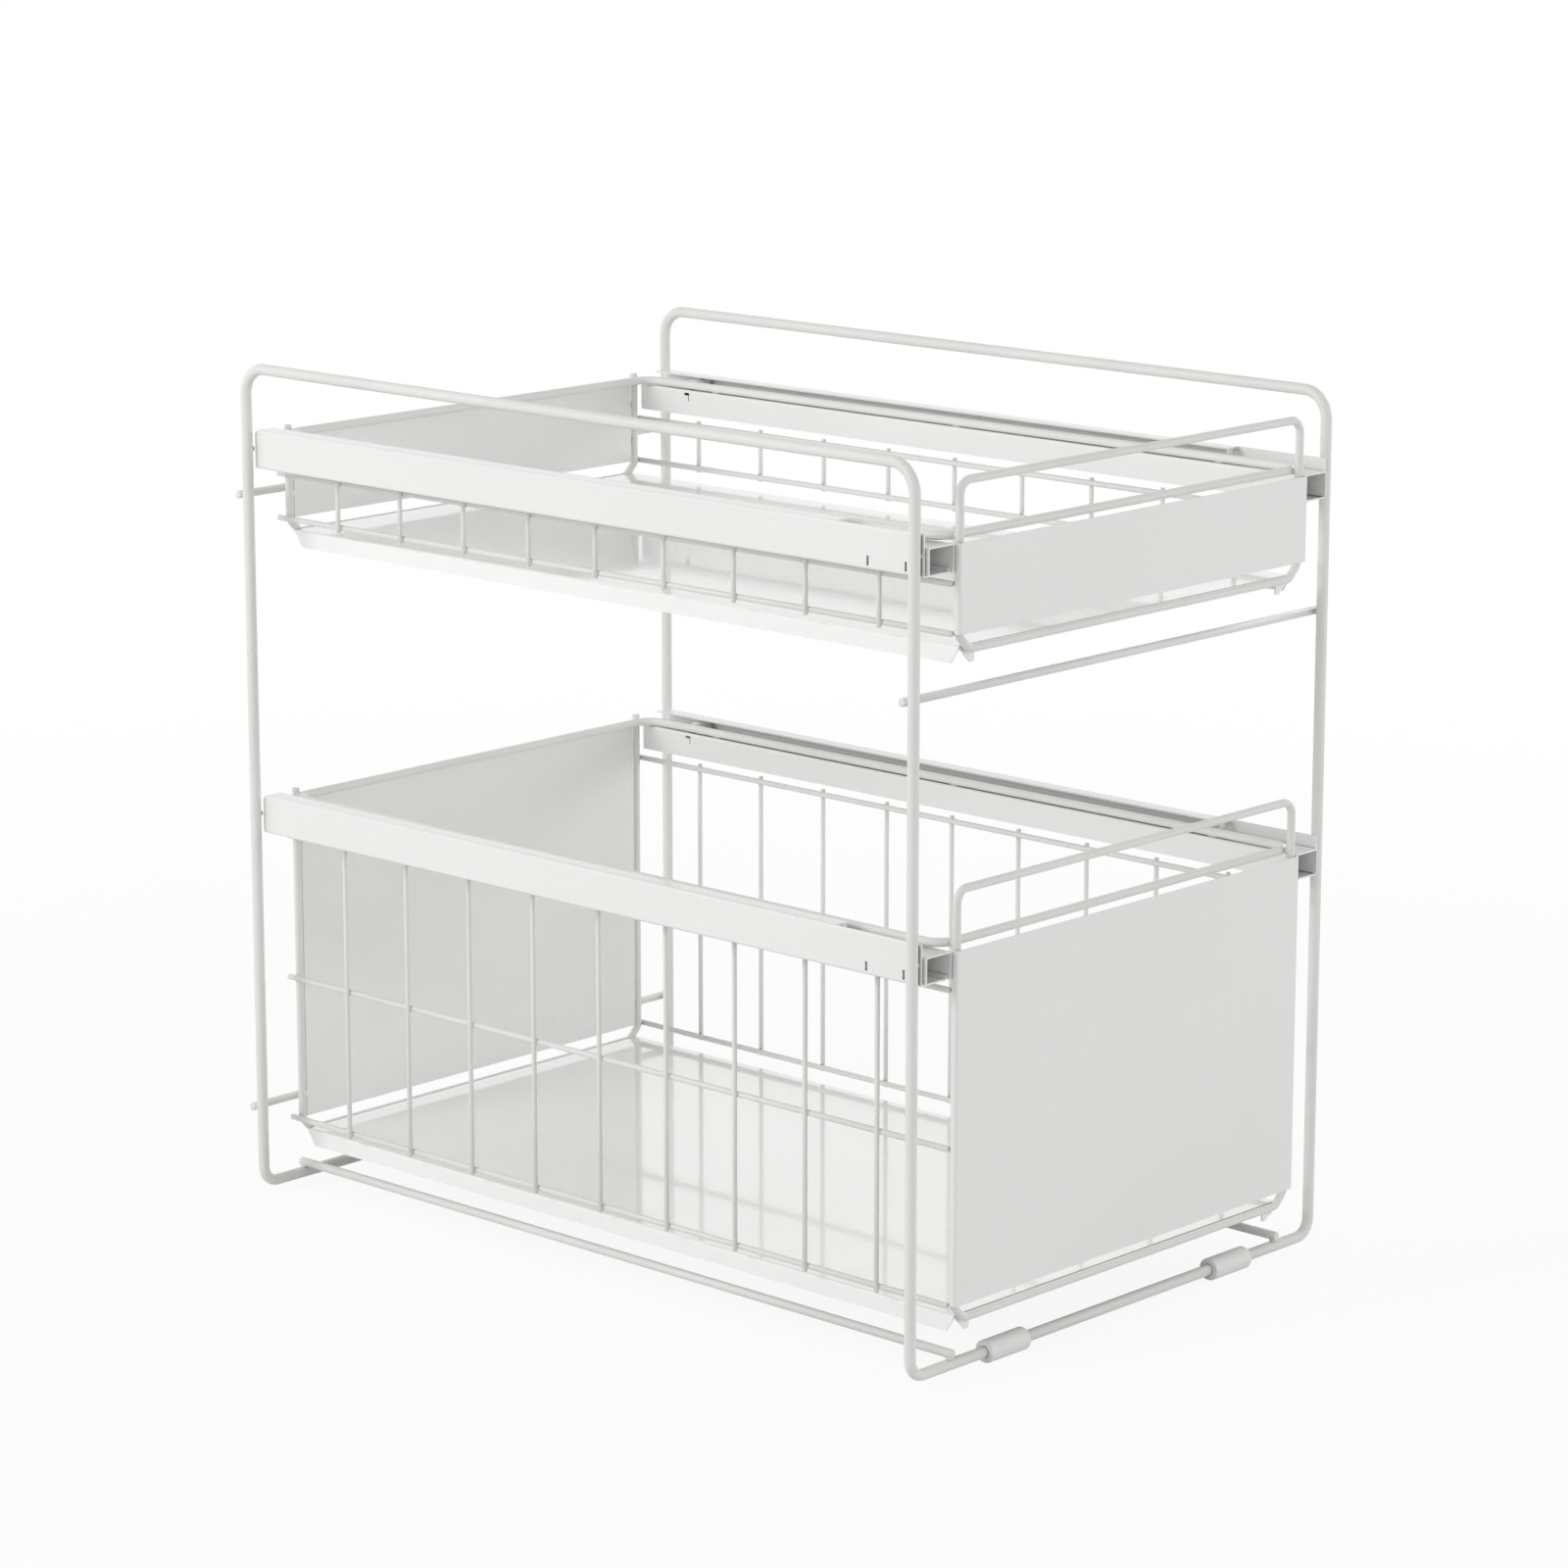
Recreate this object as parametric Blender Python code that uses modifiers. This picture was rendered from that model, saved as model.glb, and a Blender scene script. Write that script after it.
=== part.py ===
"""Two-tier pull-out basket: a bent-rod frame with two wire-and-sheet baskets on slide rails.

Metres, +Z up, the front towards -Y. The origin is at floor level under the middle of the rack.
"""
import math

import bmesh
import bpy
from mathutils import Matrix, Vector

# Clearance between pieces that touch, and the overrun of every cut
GAP = 0.0003
OVERRUN = 0.002
WELD_SINK = 0.0005

# Rod frame, centre line to centre line
FRAME_WIDTH = 0.270
FRAME_DEPTH = 0.4023
FRAME_HEIGHT = 0.3827
FRAME_ROD = 0.005
TOP_BEND = 0.012
BOTTOM_BEND = 0.008

# Feet: sleeves over the rod joints, flattened where they stand
FOOT_DIAMETER = 0.010
FOOT_LENGTH = 0.025
FRONT_FOOT_INSET = 0.0594
REAR_FOOT_INSET = 0.080
FOOT_ROUNDING = 0.0006
FOOT_FLAT = 0.0003

# Cross bars and base wires: two bars hang below the upper rails, one is above the bottom rods
CROSS_BAR = 0.0036
FRONT_BAR_DROP = 0.051
UPPER_REAR_BAR_DROP = 0.0121
LOWER_REAR_BAR_Z = 0.0365
BASE_WIRE = 0.004
BASE_WIRE_INSET = 0.025
BASE_WIRE_TIP = 0.0018

# Rails, folded from sheet: the shelf carries the runner, and a small lip keeps it in line
SHEET = 0.0008
FOLD_RADIUS = 0.0009
LOWER_RAIL_Z = 0.1675
UPPER_RAIL_DROP = 0.0462
RAIL_HEIGHT = 0.018
RAIL_SHELF = 0.016
RAIL_LIP = 0.0022
RAIL_FLANGE = 0.008
RAIL_MOUTH = 0.0477
RAIL_REAR_INSET = 0.0022
RAIL_CORNER = 0.003
RAIL_STOP_WIDTH = 0.003
RAIL_STOP_DROP = 0.0032
RAIL_SLOT_WIDTH = 0.0012
RAIL_SLOT_HEIGHT = 0.004
RAIL_SLOT_PLACES = (0.0097, 0.0303)

# Runners, folded channels upside down over the rails' lips
RUNNER_HEIGHT = 0.0113
RUNNER_SIDE_PLAY = 0.0005
RUNNER_LIP_PLAY = 0.0004
RUNNER_FRONT_TIP = 0.0004
RUNNER_REAR_INSET = 0.0018
RUNNER_TAB_INSET = 0.0304
RUNNER_TAB_LENGTH = 0.004
RUNNER_TAB_HEIGHT = 0.0041
RUNNER_TAB_WIDTH = 0.0107

# Baskets: hoops front and rear, a rim wire round the top, panels, grids and a tray
HOOP_WIRE = 0.0036
RIM_WIRE = 0.0038
RIM_OVER_RUNNER = 0.002
RIM_BEND = 0.009
POST_TO_RUNNER = 0.0034
REAR_POST_INSET = 0.0013
POST_TIP = 0.0012
HANDLE_RISE = 0.0226
HANDLE_BEND = 0.006
HOOP_CHAMFER = 0.006
HOOP_BEND = 0.005
LOWER_RUN_Z = 0.0203
UPPER_BASKET_DEPTH = 0.0468

# Panels, measured from the rim's and the hoops' bottom centre lines
FRONT_PANEL_DROP = 0.0023
REAR_PANEL_DROP = 0.0011
PANEL_FOOT_RISE = 0.007
PANEL_RETURN = 0.0032
REAR_PANEL_SLIT = 0.0009
REAR_PANEL_TAB = 0.003
REAR_PANEL_TAB_INSET = 0.011

# Side grids: long wires pass outside the posts, standing wires outside those
LONG_WIRE = 0.0026
LONG_WIRE_REAR_TIP = 0.0036
STANDING_WIRE = 0.0022
STANDING_WIRE_TIP = 0.0022
STANDING_PITCH = 0.0409
STANDING_COUNT = 9
GRID_TOP_DROP = 0.0191
GRID_FOOT_RISE = 0.0072
LOWER_ROW_COUNT = 3
UPPER_ROW_COUNT = 2

# Trays: a floor sheet between the hoops' bottom runs with a flange down each side
TRAY_INSET = 0.0016
TRAY_TOP_RISE = 0.0015
TRAY_FLANGE = 0.0078
TRAY_CUT_HEIGHT = 0.006
TRAY_FRONT_CUT = 0.0037
TRAY_REAR_CUT = 0.0045
TRAY_TAB_INSET = 0.0103
TRAY_TAB_TIP = 0.0026

# Fineness of round shapes
ARC_STEP = math.radians(18)
ROD_RESOLUTION = 4
WIRE_RESOLUTION = 2
GRID_SIDES = 8
FOOT_STEPS = 24

# Places worked out from the sizes above
ROD_RADIUS = FRAME_ROD / 2
HALF_WIDTH = FRAME_WIDTH / 2
HALF_DEPTH = FRAME_DEPTH / 2
BOTTOM_ROD_Z = FOOT_DIAMETER / 2 - FOOT_FLAT
FRONT_FOOT_X = HALF_WIDTH - FRONT_FOOT_INSET
REAR_FOOT_X = HALF_WIDTH - REAR_FOOT_INSET
BASE_WIRE_X = HALF_WIDTH - BASE_WIRE_INSET
CROSS_BAR_OFFSET = ROD_RADIUS + GAP + CROSS_BAR / 2
REAR_REACH = HALF_DEPTH + CROSS_BAR_OFFSET + CROSS_BAR / 2

UPPER_RAIL_Z = FRAME_HEIGHT - UPPER_RAIL_DROP
FRONT_BAR_Z = UPPER_RAIL_Z - FRONT_BAR_DROP
UPPER_REAR_BAR_Z = UPPER_RAIL_Z - UPPER_REAR_BAR_DROP

RAIL_WEB_X = HALF_WIDTH - ROD_RADIUS - GAP
RAIL_LIP_X = RAIL_WEB_X - RAIL_SHELF
RAIL_FRONT_Y = -HALF_DEPTH - ROD_RADIUS
RAIL_REAR_Y = HALF_DEPTH - RAIL_REAR_INSET
RAIL_FLANGE_Y = RAIL_FRONT_Y + RAIL_MOUTH
RAIL_FLANGE_X = RAIL_WEB_X - RAIL_FLANGE

RUNNER_INNER_X = RAIL_LIP_X - RUNNER_LIP_PLAY - SHEET
RUNNER_OUTER_X = RAIL_WEB_X - SHEET - RUNNER_SIDE_PLAY
RUNNER_SEAT_Z = SHEET + GAP
RUNNER_TOP_Z = RUNNER_SEAT_Z + RUNNER_HEIGHT

FRONT_FACE_Y = -REAR_REACH
FRONT_POST_Y = FRONT_FACE_Y + SHEET + GAP + HOOP_WIRE / 2
REAR_POST_Y = HALF_DEPTH - REAR_POST_INSET
BASKET_MID_Y = (FRONT_POST_Y + REAR_POST_Y) / 2
RIM_X = RUNNER_INNER_X + RIM_OVER_RUNNER
RIM_Z = RUNNER_TOP_Z + GAP + RIM_WIRE / 2
RIM_INSET = HOOP_WIRE / 2 + GAP + RIM_WIRE / 2
LOWER_BASKET_DEPTH = LOWER_RAIL_Z + RIM_Z - LOWER_RUN_Z
POST_X = RUNNER_INNER_X - POST_TO_RUNNER
PANEL_X = POST_X + HOOP_WIRE / 2 + GAP + SHEET
LONG_WIRE_X = POST_X + HOOP_WIRE / 2 + GAP + LONG_WIRE / 2
STANDING_WIRE_X = LONG_WIRE_X + LONG_WIRE / 2 + STANDING_WIRE / 2 - WELD_SINK

TRAY_X = POST_X - TRAY_INSET
TRAY_TAB_X = TRAY_X - TRAY_TAB_INSET
TRAY_FRONT_Y = FRONT_POST_Y + HOOP_WIRE / 2 + GAP
TRAY_REAR_Y = REAR_POST_Y - HOOP_WIRE / 2 - GAP

SIDES = (("left", -1), ("right", 1))
ENDS = (("front", -1, FRONT_FOOT_X), ("rear", 1, REAR_FOOT_X))


def clear_scene():
    for obj in list(bpy.data.objects):
        bpy.data.objects.remove(obj, do_unlink=True)


def new_collection(name):
    collection = bpy.data.collections.new(name)
    bpy.context.scene.collection.children.link(collection)
    return collection


def coat(name, colour, roughness):
    material = bpy.data.materials.new(name)
    material.use_nodes = True
    shader = material.node_tree.nodes["Principled BSDF"]
    shader.inputs["Base Color"].default_value = (*colour, 1.0)
    shader.inputs["Roughness"].default_value = roughness
    shader.inputs["Metallic"].default_value = 0.0
    return material


def rod_coat():
    """Satin white powder coat on rods and wires."""
    return coat("rod_powder_coat", (0.83, 0.83, 0.81), 0.42)


def sheet_coat():
    """The same coat on folded sheet, a touch smoother."""
    return coat("sheet_powder_coat", (0.85, 0.85, 0.84), 0.38)


def foot_plastic():
    """Soft grey-white plastic."""
    return coat("foot_plastic", (0.62, 0.62, 0.60), 0.55)


def empty(name, location):
    """The carrier of one body; a slide's carrier lies on the slide's own line."""
    carrier = bpy.data.objects.new(name, None)
    carrier.location = location
    bpy.context.scene.collection.objects.link(carrier)
    return carrier


class Body:
    """Adds finished pieces and their cutters under one carrier."""

    def __init__(self, carrier, parts, cutters, coats):
        self.carrier = carrier
        self.parts = parts
        self.cutters = cutters
        self.rod, self.sheet, self.plastic = coats

    def add(self, name, data, material):
        piece = bpy.data.objects.new(name, data)
        data.materials.append(material)
        piece.parent = self.carrier
        self.parts.objects.link(piece)
        return piece

    def tool(self, name, mesh):
        cutter = bpy.data.objects.new(name, mesh)
        cutter.parent = self.carrier
        cutter.hide_render = True
        cutter.display_type = "WIRE"
        self.cutters.objects.link(cutter)
        return cutter


def combine(piece, cutter, operation):
    modifier = piece.modifiers.new(cutter.name, "BOOLEAN")
    modifier.operation = operation
    modifier.solver = "EXACT"
    modifier.object = cutter


def rounded(corners, bend, closed=False):
    """The points of a path through the corners, each turned with the bend radius."""
    corners = [Vector(corner) for corner in corners]
    count = len(corners)
    points = []
    for index, corner in enumerate(corners):
        if not closed and index in (0, count - 1):
            points.append(corner)
            continue
        radius = bend[index] if isinstance(bend, (list, tuple)) else bend
        back = (corners[index - 1] - corner).normalized()
        ahead = (corners[(index + 1) % count] - corner).normalized()
        half = back.angle(ahead) / 2
        outward = -(back + ahead).normalized()
        along = (ahead - back).normalized()
        centre = corner - outward * radius / math.sin(half)
        sweep = math.pi / 2 - half
        steps = max(2, math.ceil(2 * sweep / ARC_STEP))
        for step in range(steps + 1):
            angle = sweep * (2 * step / steps - 1)
            points.append(centre + radius * (outward * math.cos(angle) + along * math.sin(angle)))
    return points


def wire_curve(name, points, diameter, resolution, closed=False):
    curve = bpy.data.curves.new(name, "CURVE")
    curve.dimensions = "3D"
    curve.bevel_depth = diameter / 2
    curve.bevel_resolution = resolution
    curve.use_fill_caps = not closed
    spline = curve.splines.new("POLY")
    spline.points.add(len(points) - 1)
    for point, place in zip(spline.points, points):
        point.co = (*place, 1.0)
    spline.use_cyclic_u = closed
    spline.use_smooth = True
    return curve


def mesh_from(name, build):
    mesh = bpy.data.meshes.new(name)
    body = bmesh.new()
    build(body)
    bmesh.ops.recalc_face_normals(body, faces=body.faces)
    body.to_mesh(mesh)
    body.free()
    return mesh


def add_box(body, low, high):
    low, high = Vector(low), Vector(high)
    size = high - low
    place = Matrix.Translation((low + high) / 2) @ Matrix.Diagonal((*size, 1.0))
    bmesh.ops.create_cube(body, size=1.0, matrix=place)


def box_mesh(name, low, high):
    return mesh_from(name, lambda body: add_box(body, low, high))


def sided_box(name, side, inner_x, outer_x, y_range, z_range):
    """A box on the left or right side, given by its distances from the middle plane."""
    x_range = sorted((side * inner_x, side * outer_x))
    low, high = zip(x_range, y_range, z_range)
    return box_mesh(name, low, high)


def add_rod(body, start, end, diameter, sides):
    start, end = Vector(start), Vector(end)
    run = end - start
    turn = run.to_track_quat("Z", "Y").to_matrix().to_4x4()
    bmesh.ops.create_cone(
        body, cap_ends=True, segments=sides, radius1=diameter / 2, radius2=diameter / 2,
        depth=run.length, matrix=Matrix.Translation((start + end) / 2) @ turn)


def prism_mesh(name, outline, thickness_range, place):
    """A flat outline pushed through a thickness; place(u, v, w) gives the point in space."""
    start, end = thickness_range

    def build(body):
        base = body.faces.new([body.verts.new(place(u, v, start)) for u, v in outline])
        grown = bmesh.ops.extrude_face_region(body, geom=[base])
        moved = [item for item in grown["geom"] if isinstance(item, bmesh.types.BMVert)]
        shift = Vector(place(0, 0, end)) - Vector(place(0, 0, start))
        bmesh.ops.translate(body, verts=moved, vec=shift)

    return mesh_from(name, build)


def along_x(u, v, w):
    return (w, u, v)


def along_y(u, v, w):
    return (u, w, v)


def along_z(u, v, w):
    return (u, v, w)


def folded_sheet(owner, name, fold, run, place):
    """A strip that follows the fold line and runs straight, thickened to the sheet."""
    start, end = run
    mesh = bpy.data.meshes.new(name)
    body = bmesh.new()
    verts = [body.verts.new(place(*point, start)) for point in fold]
    edges = [body.edges.new(pair) for pair in zip(verts, verts[1:])]
    grown = bmesh.ops.extrude_edge_only(body, edges=edges)
    moved = [item for item in grown["geom"] if isinstance(item, bmesh.types.BMVert)]
    bmesh.ops.translate(body, verts=moved, vec=Vector(place(0, 0, end)) - Vector(place(0, 0, start)))
    body.to_mesh(mesh)
    body.free()
    piece = owner.add(name, mesh, owner.sheet)
    shell = piece.modifiers.new("sheet", "SOLIDIFY")
    shell.thickness = SHEET
    shell.offset = 0.0
    shell.use_even_offset = True
    return piece


def make_side_frame(owner, side_name, side):
    """One bent rod: joint in the front foot, up, along the top, down, joint in the rear foot."""
    front_x = side * (FRONT_FOOT_X + GAP / 2)
    rear_x = side * (REAR_FOOT_X + GAP / 2)
    far_x = side * HALF_WIDTH
    corners = [
        (front_x, -HALF_DEPTH, 0), (far_x, -HALF_DEPTH, 0), (far_x, -HALF_DEPTH, FRAME_HEIGHT),
        (far_x, HALF_DEPTH, FRAME_HEIGHT), (far_x, HALF_DEPTH, 0), (rear_x, HALF_DEPTH, 0)]
    bends = [0, BOTTOM_BEND, TOP_BEND, TOP_BEND, BOTTOM_BEND, 0]
    name = f"{side_name}_side_frame"
    owner.add(name, wire_curve(name, rounded(corners, bends), FRAME_ROD, ROD_RESOLUTION), owner.rod)


def make_bottom_bar(owner, end_name, end, foot_x):
    """The straight rod between the two feet of one end."""
    reach = foot_x - GAP / 2
    points = [(-reach, end * HALF_DEPTH, 0), (reach, end * HALF_DEPTH, 0)]
    name = f"{end_name}_bottom_bar"
    owner.add(name, wire_curve(name, points, FRAME_ROD, ROD_RESOLUTION), owner.rod)


def make_cross_bar(owner, name, y, z):
    reach = HALF_WIDTH + ROD_RADIUS
    owner.add(name, wire_curve(name, [(-reach, y, z), (reach, y, z)], CROSS_BAR, ROD_RESOLUTION), owner.rod)


def make_base_wire(owner, side_name, side):
    """A wire laid front to rear across the bottom bars."""
    reach = HALF_DEPTH + BASE_WIRE_TIP
    z = ROD_RADIUS + GAP + BASE_WIRE / 2
    points = [(side * BASE_WIRE_X, -reach, z), (side * BASE_WIRE_X, reach, z)]
    name = f"{side_name}_base_wire"
    owner.add(name, wire_curve(name, points, BASE_WIRE, ROD_RESOLUTION), owner.rod)


def make_foot(owner, name, x, y):
    """A turned sleeve round the rod joint, with its ends rounded and its underside flat."""
    bore = ROD_RADIUS + GAP
    outer = FOOT_DIAMETER / 2
    half = FOOT_LENGTH / 2
    section = rounded(
        [(-half, 0, bore), (-half, 0, outer), (half, 0, outer), (half, 0, bore)],
        [0, FOOT_ROUNDING, FOOT_ROUNDING, 0])

    def build(body):
        verts = [body.verts.new(point) for point in section]
        for first, second in zip(verts, verts[1:] + verts[:1]):
            body.edges.new((first, second))

    sleeve = owner.add(name, mesh_from(name, build), owner.plastic)
    sleeve.location = (x, y, 0)
    turned = sleeve.modifiers.new("turned", "SCREW")
    turned.axis = "X"
    turned.angle = math.tau
    turned.steps = FOOT_STEPS
    turned.render_steps = FOOT_STEPS
    turned.merge_threshold = GAP / 10
    turned.use_merge_vertices = True
    turned.use_normal_calculate = True
    turned.use_smooth_shade = True
    floor = -outer + FOOT_FLAT
    cutter = owner.tool(f"{name}_flat", box_mesh(
        f"{name}_flat",
        (x - half - OVERRUN, y - outer, floor - OVERRUN), (x + half + OVERRUN, y + outer, floor)))
    combine(sleeve, cutter, "DIFFERENCE")


def make_rail(owner, tier, side_name, side, rail_z):
    """A folded rail against the uprights: lip, shelf, web and a top flange behind the mouth."""
    name = f"{tier}_{side_name}_rail"
    web_x = RAIL_WEB_X - SHEET / 2
    top_z = rail_z + RAIL_HEIGHT - SHEET / 2
    shelf_z = rail_z + SHEET / 2
    corners = [
        (RAIL_LIP_X + SHEET / 2, rail_z + RAIL_LIP), (RAIL_LIP_X + SHEET / 2, shelf_z),
        (web_x, shelf_z), (web_x, top_z), (RAIL_FLANGE_X, top_z)]
    fold = [(side * x, z) for x, z in rounded(corners, FOLD_RADIUS)]
    rail = folded_sheet(owner, name, fold, (RAIL_FRONT_Y, RAIL_REAR_Y), along_y)

    mouth = owner.tool(f"{name}_mouth", sided_box(
        f"{name}_mouth", side, RAIL_FLANGE_X - OVERRUN, RAIL_WEB_X - SHEET,
        (RAIL_FRONT_Y - OVERRUN, RAIL_FLANGE_Y),
        (top_z - OVERRUN, top_z + OVERRUN)))
    combine(rail, mouth, "DIFFERENCE")

    stop_x = RAIL_FLANGE_X + GAP
    stop = owner.tool(f"{name}_stop", sided_box(
        f"{name}_stop", side, stop_x, stop_x + RAIL_STOP_WIDTH,
        (RAIL_FLANGE_Y + GAP, RAIL_FLANGE_Y + GAP + SHEET),
        (top_z - RAIL_STOP_DROP, top_z)))
    combine(rail, stop, "UNION")

    for index, place in enumerate(RAIL_SLOT_PLACES):
        slot_y = RAIL_FRONT_Y + place
        slot = owner.tool(f"{name}_slot_{index}", sided_box(
            f"{name}_slot_{index}", side, RAIL_WEB_X - SHEET - GAP, RAIL_WEB_X + OVERRUN,
            (slot_y - RAIL_SLOT_WIDTH / 2, slot_y + RAIL_SLOT_WIDTH / 2),
            (rail_z + 2 * SHEET, rail_z + 2 * SHEET + RAIL_SLOT_HEIGHT)))
        combine(rail, slot, "DIFFERENCE")

    crest = rail_z + RAIL_HEIGHT
    turn = rounded(
        [(RAIL_REAR_Y - 2 * RAIL_CORNER, crest, 0), (RAIL_REAR_Y, crest, 0),
         (RAIL_REAR_Y, crest - 2 * RAIL_CORNER, 0)], RAIL_CORNER)[1:-1]
    outline = [(y, z) for y, z, _ in turn]
    outline += [(RAIL_REAR_Y + OVERRUN, outline[-1][1]), (RAIL_REAR_Y + OVERRUN, crest + OVERRUN),
                (outline[0][0], crest + OVERRUN)]
    reach = sorted((side * (RAIL_FLANGE_X - OVERRUN), side * (RAIL_WEB_X + OVERRUN)))
    corner = owner.tool(f"{name}_corner", prism_mesh(f"{name}_corner", outline, reach, along_x))
    combine(rail, corner, "DIFFERENCE")


def make_runner(owner, tier, side_name, side):
    """A channel upside down: it stands on the shelf, hangs inside the lip and has a stop tab on top."""
    name = f"{tier}_{side_name}_runner"
    inner_x = RUNNER_INNER_X + SHEET / 2
    outer_x = RUNNER_OUTER_X - SHEET / 2
    top_z = RUNNER_TOP_Z - SHEET / 2
    corners = [(inner_x, GAP), (inner_x, top_z), (outer_x, top_z), (outer_x, RUNNER_SEAT_Z)]
    fold = [(side * x, z) for x, z in rounded(corners, FOLD_RADIUS)]
    front_y = FRONT_POST_Y - RUNNER_FRONT_TIP
    rear_y = REAR_POST_Y - RUNNER_REAR_INSET
    runner = folded_sheet(owner, name, fold, (front_y, rear_y), along_y)
    tab_x = RUNNER_OUTER_X - FOLD_RADIUS
    tab_y = rear_y - RUNNER_TAB_INSET
    tab = owner.tool(f"{name}_tab", sided_box(
        f"{name}_tab", side, tab_x - RUNNER_TAB_WIDTH, tab_x,
        (tab_y - RUNNER_TAB_LENGTH / 2, tab_y + RUNNER_TAB_LENGTH / 2),
        (RUNNER_TOP_Z - SHEET / 2, RUNNER_TOP_Z + RUNNER_TAB_HEIGHT)))
    combine(runner, tab, "UNION")


def make_rim(owner, tier):
    """A closed wire on the runners' inner edges, just inside the posts of both hoops."""
    front_y = FRONT_POST_Y + RIM_INSET
    rear_y = REAR_POST_Y - RIM_INSET
    corners = [
        (-RIM_X, front_y, RIM_Z), (RIM_X, front_y, RIM_Z), (RIM_X, rear_y, RIM_Z), (-RIM_X, rear_y, RIM_Z)]
    name = f"{tier}_rim_wire"
    path = rounded(corners, RIM_BEND, closed=True)
    owner.add(name, wire_curve(name, path, RIM_WIRE, WIRE_RESOLUTION, closed=True), owner.rod)


def hoop_foot(y, run_z):
    """The lower corners of a hoop from its left post to its right post."""
    low_x = POST_X - HOOP_CHAMFER
    return [(-POST_X, y, run_z + HOOP_CHAMFER), (-low_x, y, run_z), (low_x, y, run_z),
            (POST_X, y, run_z + HOOP_CHAMFER)]


def make_front_hoop(owner, tier, run_z):
    """A closed wire loop: the handle across the top, two posts and the run under the tray."""
    top_z = RIM_Z + HANDLE_RISE
    y = FRONT_POST_Y
    corners = [(-POST_X, y, top_z)] + hoop_foot(y, run_z) + [(POST_X, y, top_z)]
    bends = [HANDLE_BEND] + [HOOP_BEND] * 4 + [HANDLE_BEND]
    name = f"{tier}_front_hoop"
    path = rounded(corners, bends, closed=True)
    owner.add(name, wire_curve(name, path, HOOP_WIRE, WIRE_RESOLUTION, closed=True), owner.rod)


def make_rear_hoop(owner, tier, run_z):
    """An open wire whose posts end just above the rim."""
    top_z = RIM_Z + RIM_WIRE / 2 + POST_TIP
    y = REAR_POST_Y
    corners = [(-POST_X, y, top_z)] + hoop_foot(y, run_z) + [(POST_X, y, top_z)]
    name = f"{tier}_rear_hoop"
    owner.add(name, wire_curve(name, rounded(corners, HOOP_BEND), HOOP_WIRE, WIRE_RESOLUTION), owner.rod)


def make_front_panel(owner, tier, run_z):
    """The sheet in front of the posts, with a small return round each post."""
    face_y = FRONT_FACE_Y + SHEET / 2
    side_x = PANEL_X - SHEET / 2
    back_y = FRONT_FACE_Y + PANEL_RETURN
    corners = [(-side_x, back_y), (-side_x, face_y), (side_x, face_y), (side_x, back_y)]
    fold = [tuple(point) for point in rounded(corners, FOLD_RADIUS)]
    heights = (run_z + PANEL_FOOT_RISE, RIM_Z - FRONT_PANEL_DROP)
    folded_sheet(owner, f"{tier}_front_panel", fold, heights, along_z)


def make_rear_panel(owner, tier, run_z):
    """The sheet between the rear posts, held by two small tabs on each post."""
    name = f"{tier}_rear_panel"
    half = POST_X - HOOP_WIRE / 2 - REAR_PANEL_SLIT
    depth = (REAR_POST_Y - SHEET / 2, REAR_POST_Y + SHEET / 2)
    low_z = run_z + PANEL_FOOT_RISE
    high_z = RIM_Z - REAR_PANEL_DROP
    panel = owner.add(name, box_mesh(name, (-half, depth[0], low_z), (half, depth[1], high_z)), owner.sheet)
    reach = POST_X - HOOP_WIRE / 2 - GAP
    half_tab = REAR_PANEL_TAB / 2
    for level, z in (("low", low_z + REAR_PANEL_TAB_INSET), ("high", high_z - REAR_PANEL_TAB_INSET)):
        tool_name = f"{name}_{level}_tab"
        tab = owner.tool(tool_name, box_mesh(
            tool_name, (-reach, depth[0], z - half_tab), (reach, depth[1], z + half_tab)))
        combine(panel, tab, "UNION")


def make_grid(owner, tier, side_name, side, run_z, rows):
    """Long wires against the posts and standing wires welded across them."""
    name = f"{tier}_{side_name}_grid"
    low_z = run_z + GRID_FOOT_RISE
    high_z = RIM_Z - GRID_TOP_DROP
    front_y = FRONT_FACE_Y + PANEL_RETURN + GAP
    rear_y = REAR_POST_Y + LONG_WIRE_REAR_TIP
    long_x = side * LONG_WIRE_X
    standing_x = side * STANDING_WIRE_X

    def build_long(body):
        for row in range(rows):
            z = low_z + (high_z - low_z) * row / (rows - 1)
            add_rod(body, (long_x, front_y, z), (long_x, rear_y, z), LONG_WIRE, GRID_SIDES)

    def build_standing(body):
        for index in range(STANDING_COUNT):
            y = BASKET_MID_Y + STANDING_PITCH * (index - (STANDING_COUNT - 1) / 2)
            add_rod(body, (standing_x, y, low_z - STANDING_WIRE_TIP),
                    (standing_x, y, high_z + STANDING_WIRE_TIP), STANDING_WIRE, GRID_SIDES)

    long_mesh = mesh_from(name, build_long)
    long_mesh.shade_smooth()
    grid = owner.add(name, long_mesh, owner.rod)
    combine(grid, owner.tool(f"{name}_standing", mesh_from(f"{name}_standing", build_standing)), "UNION")


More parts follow.
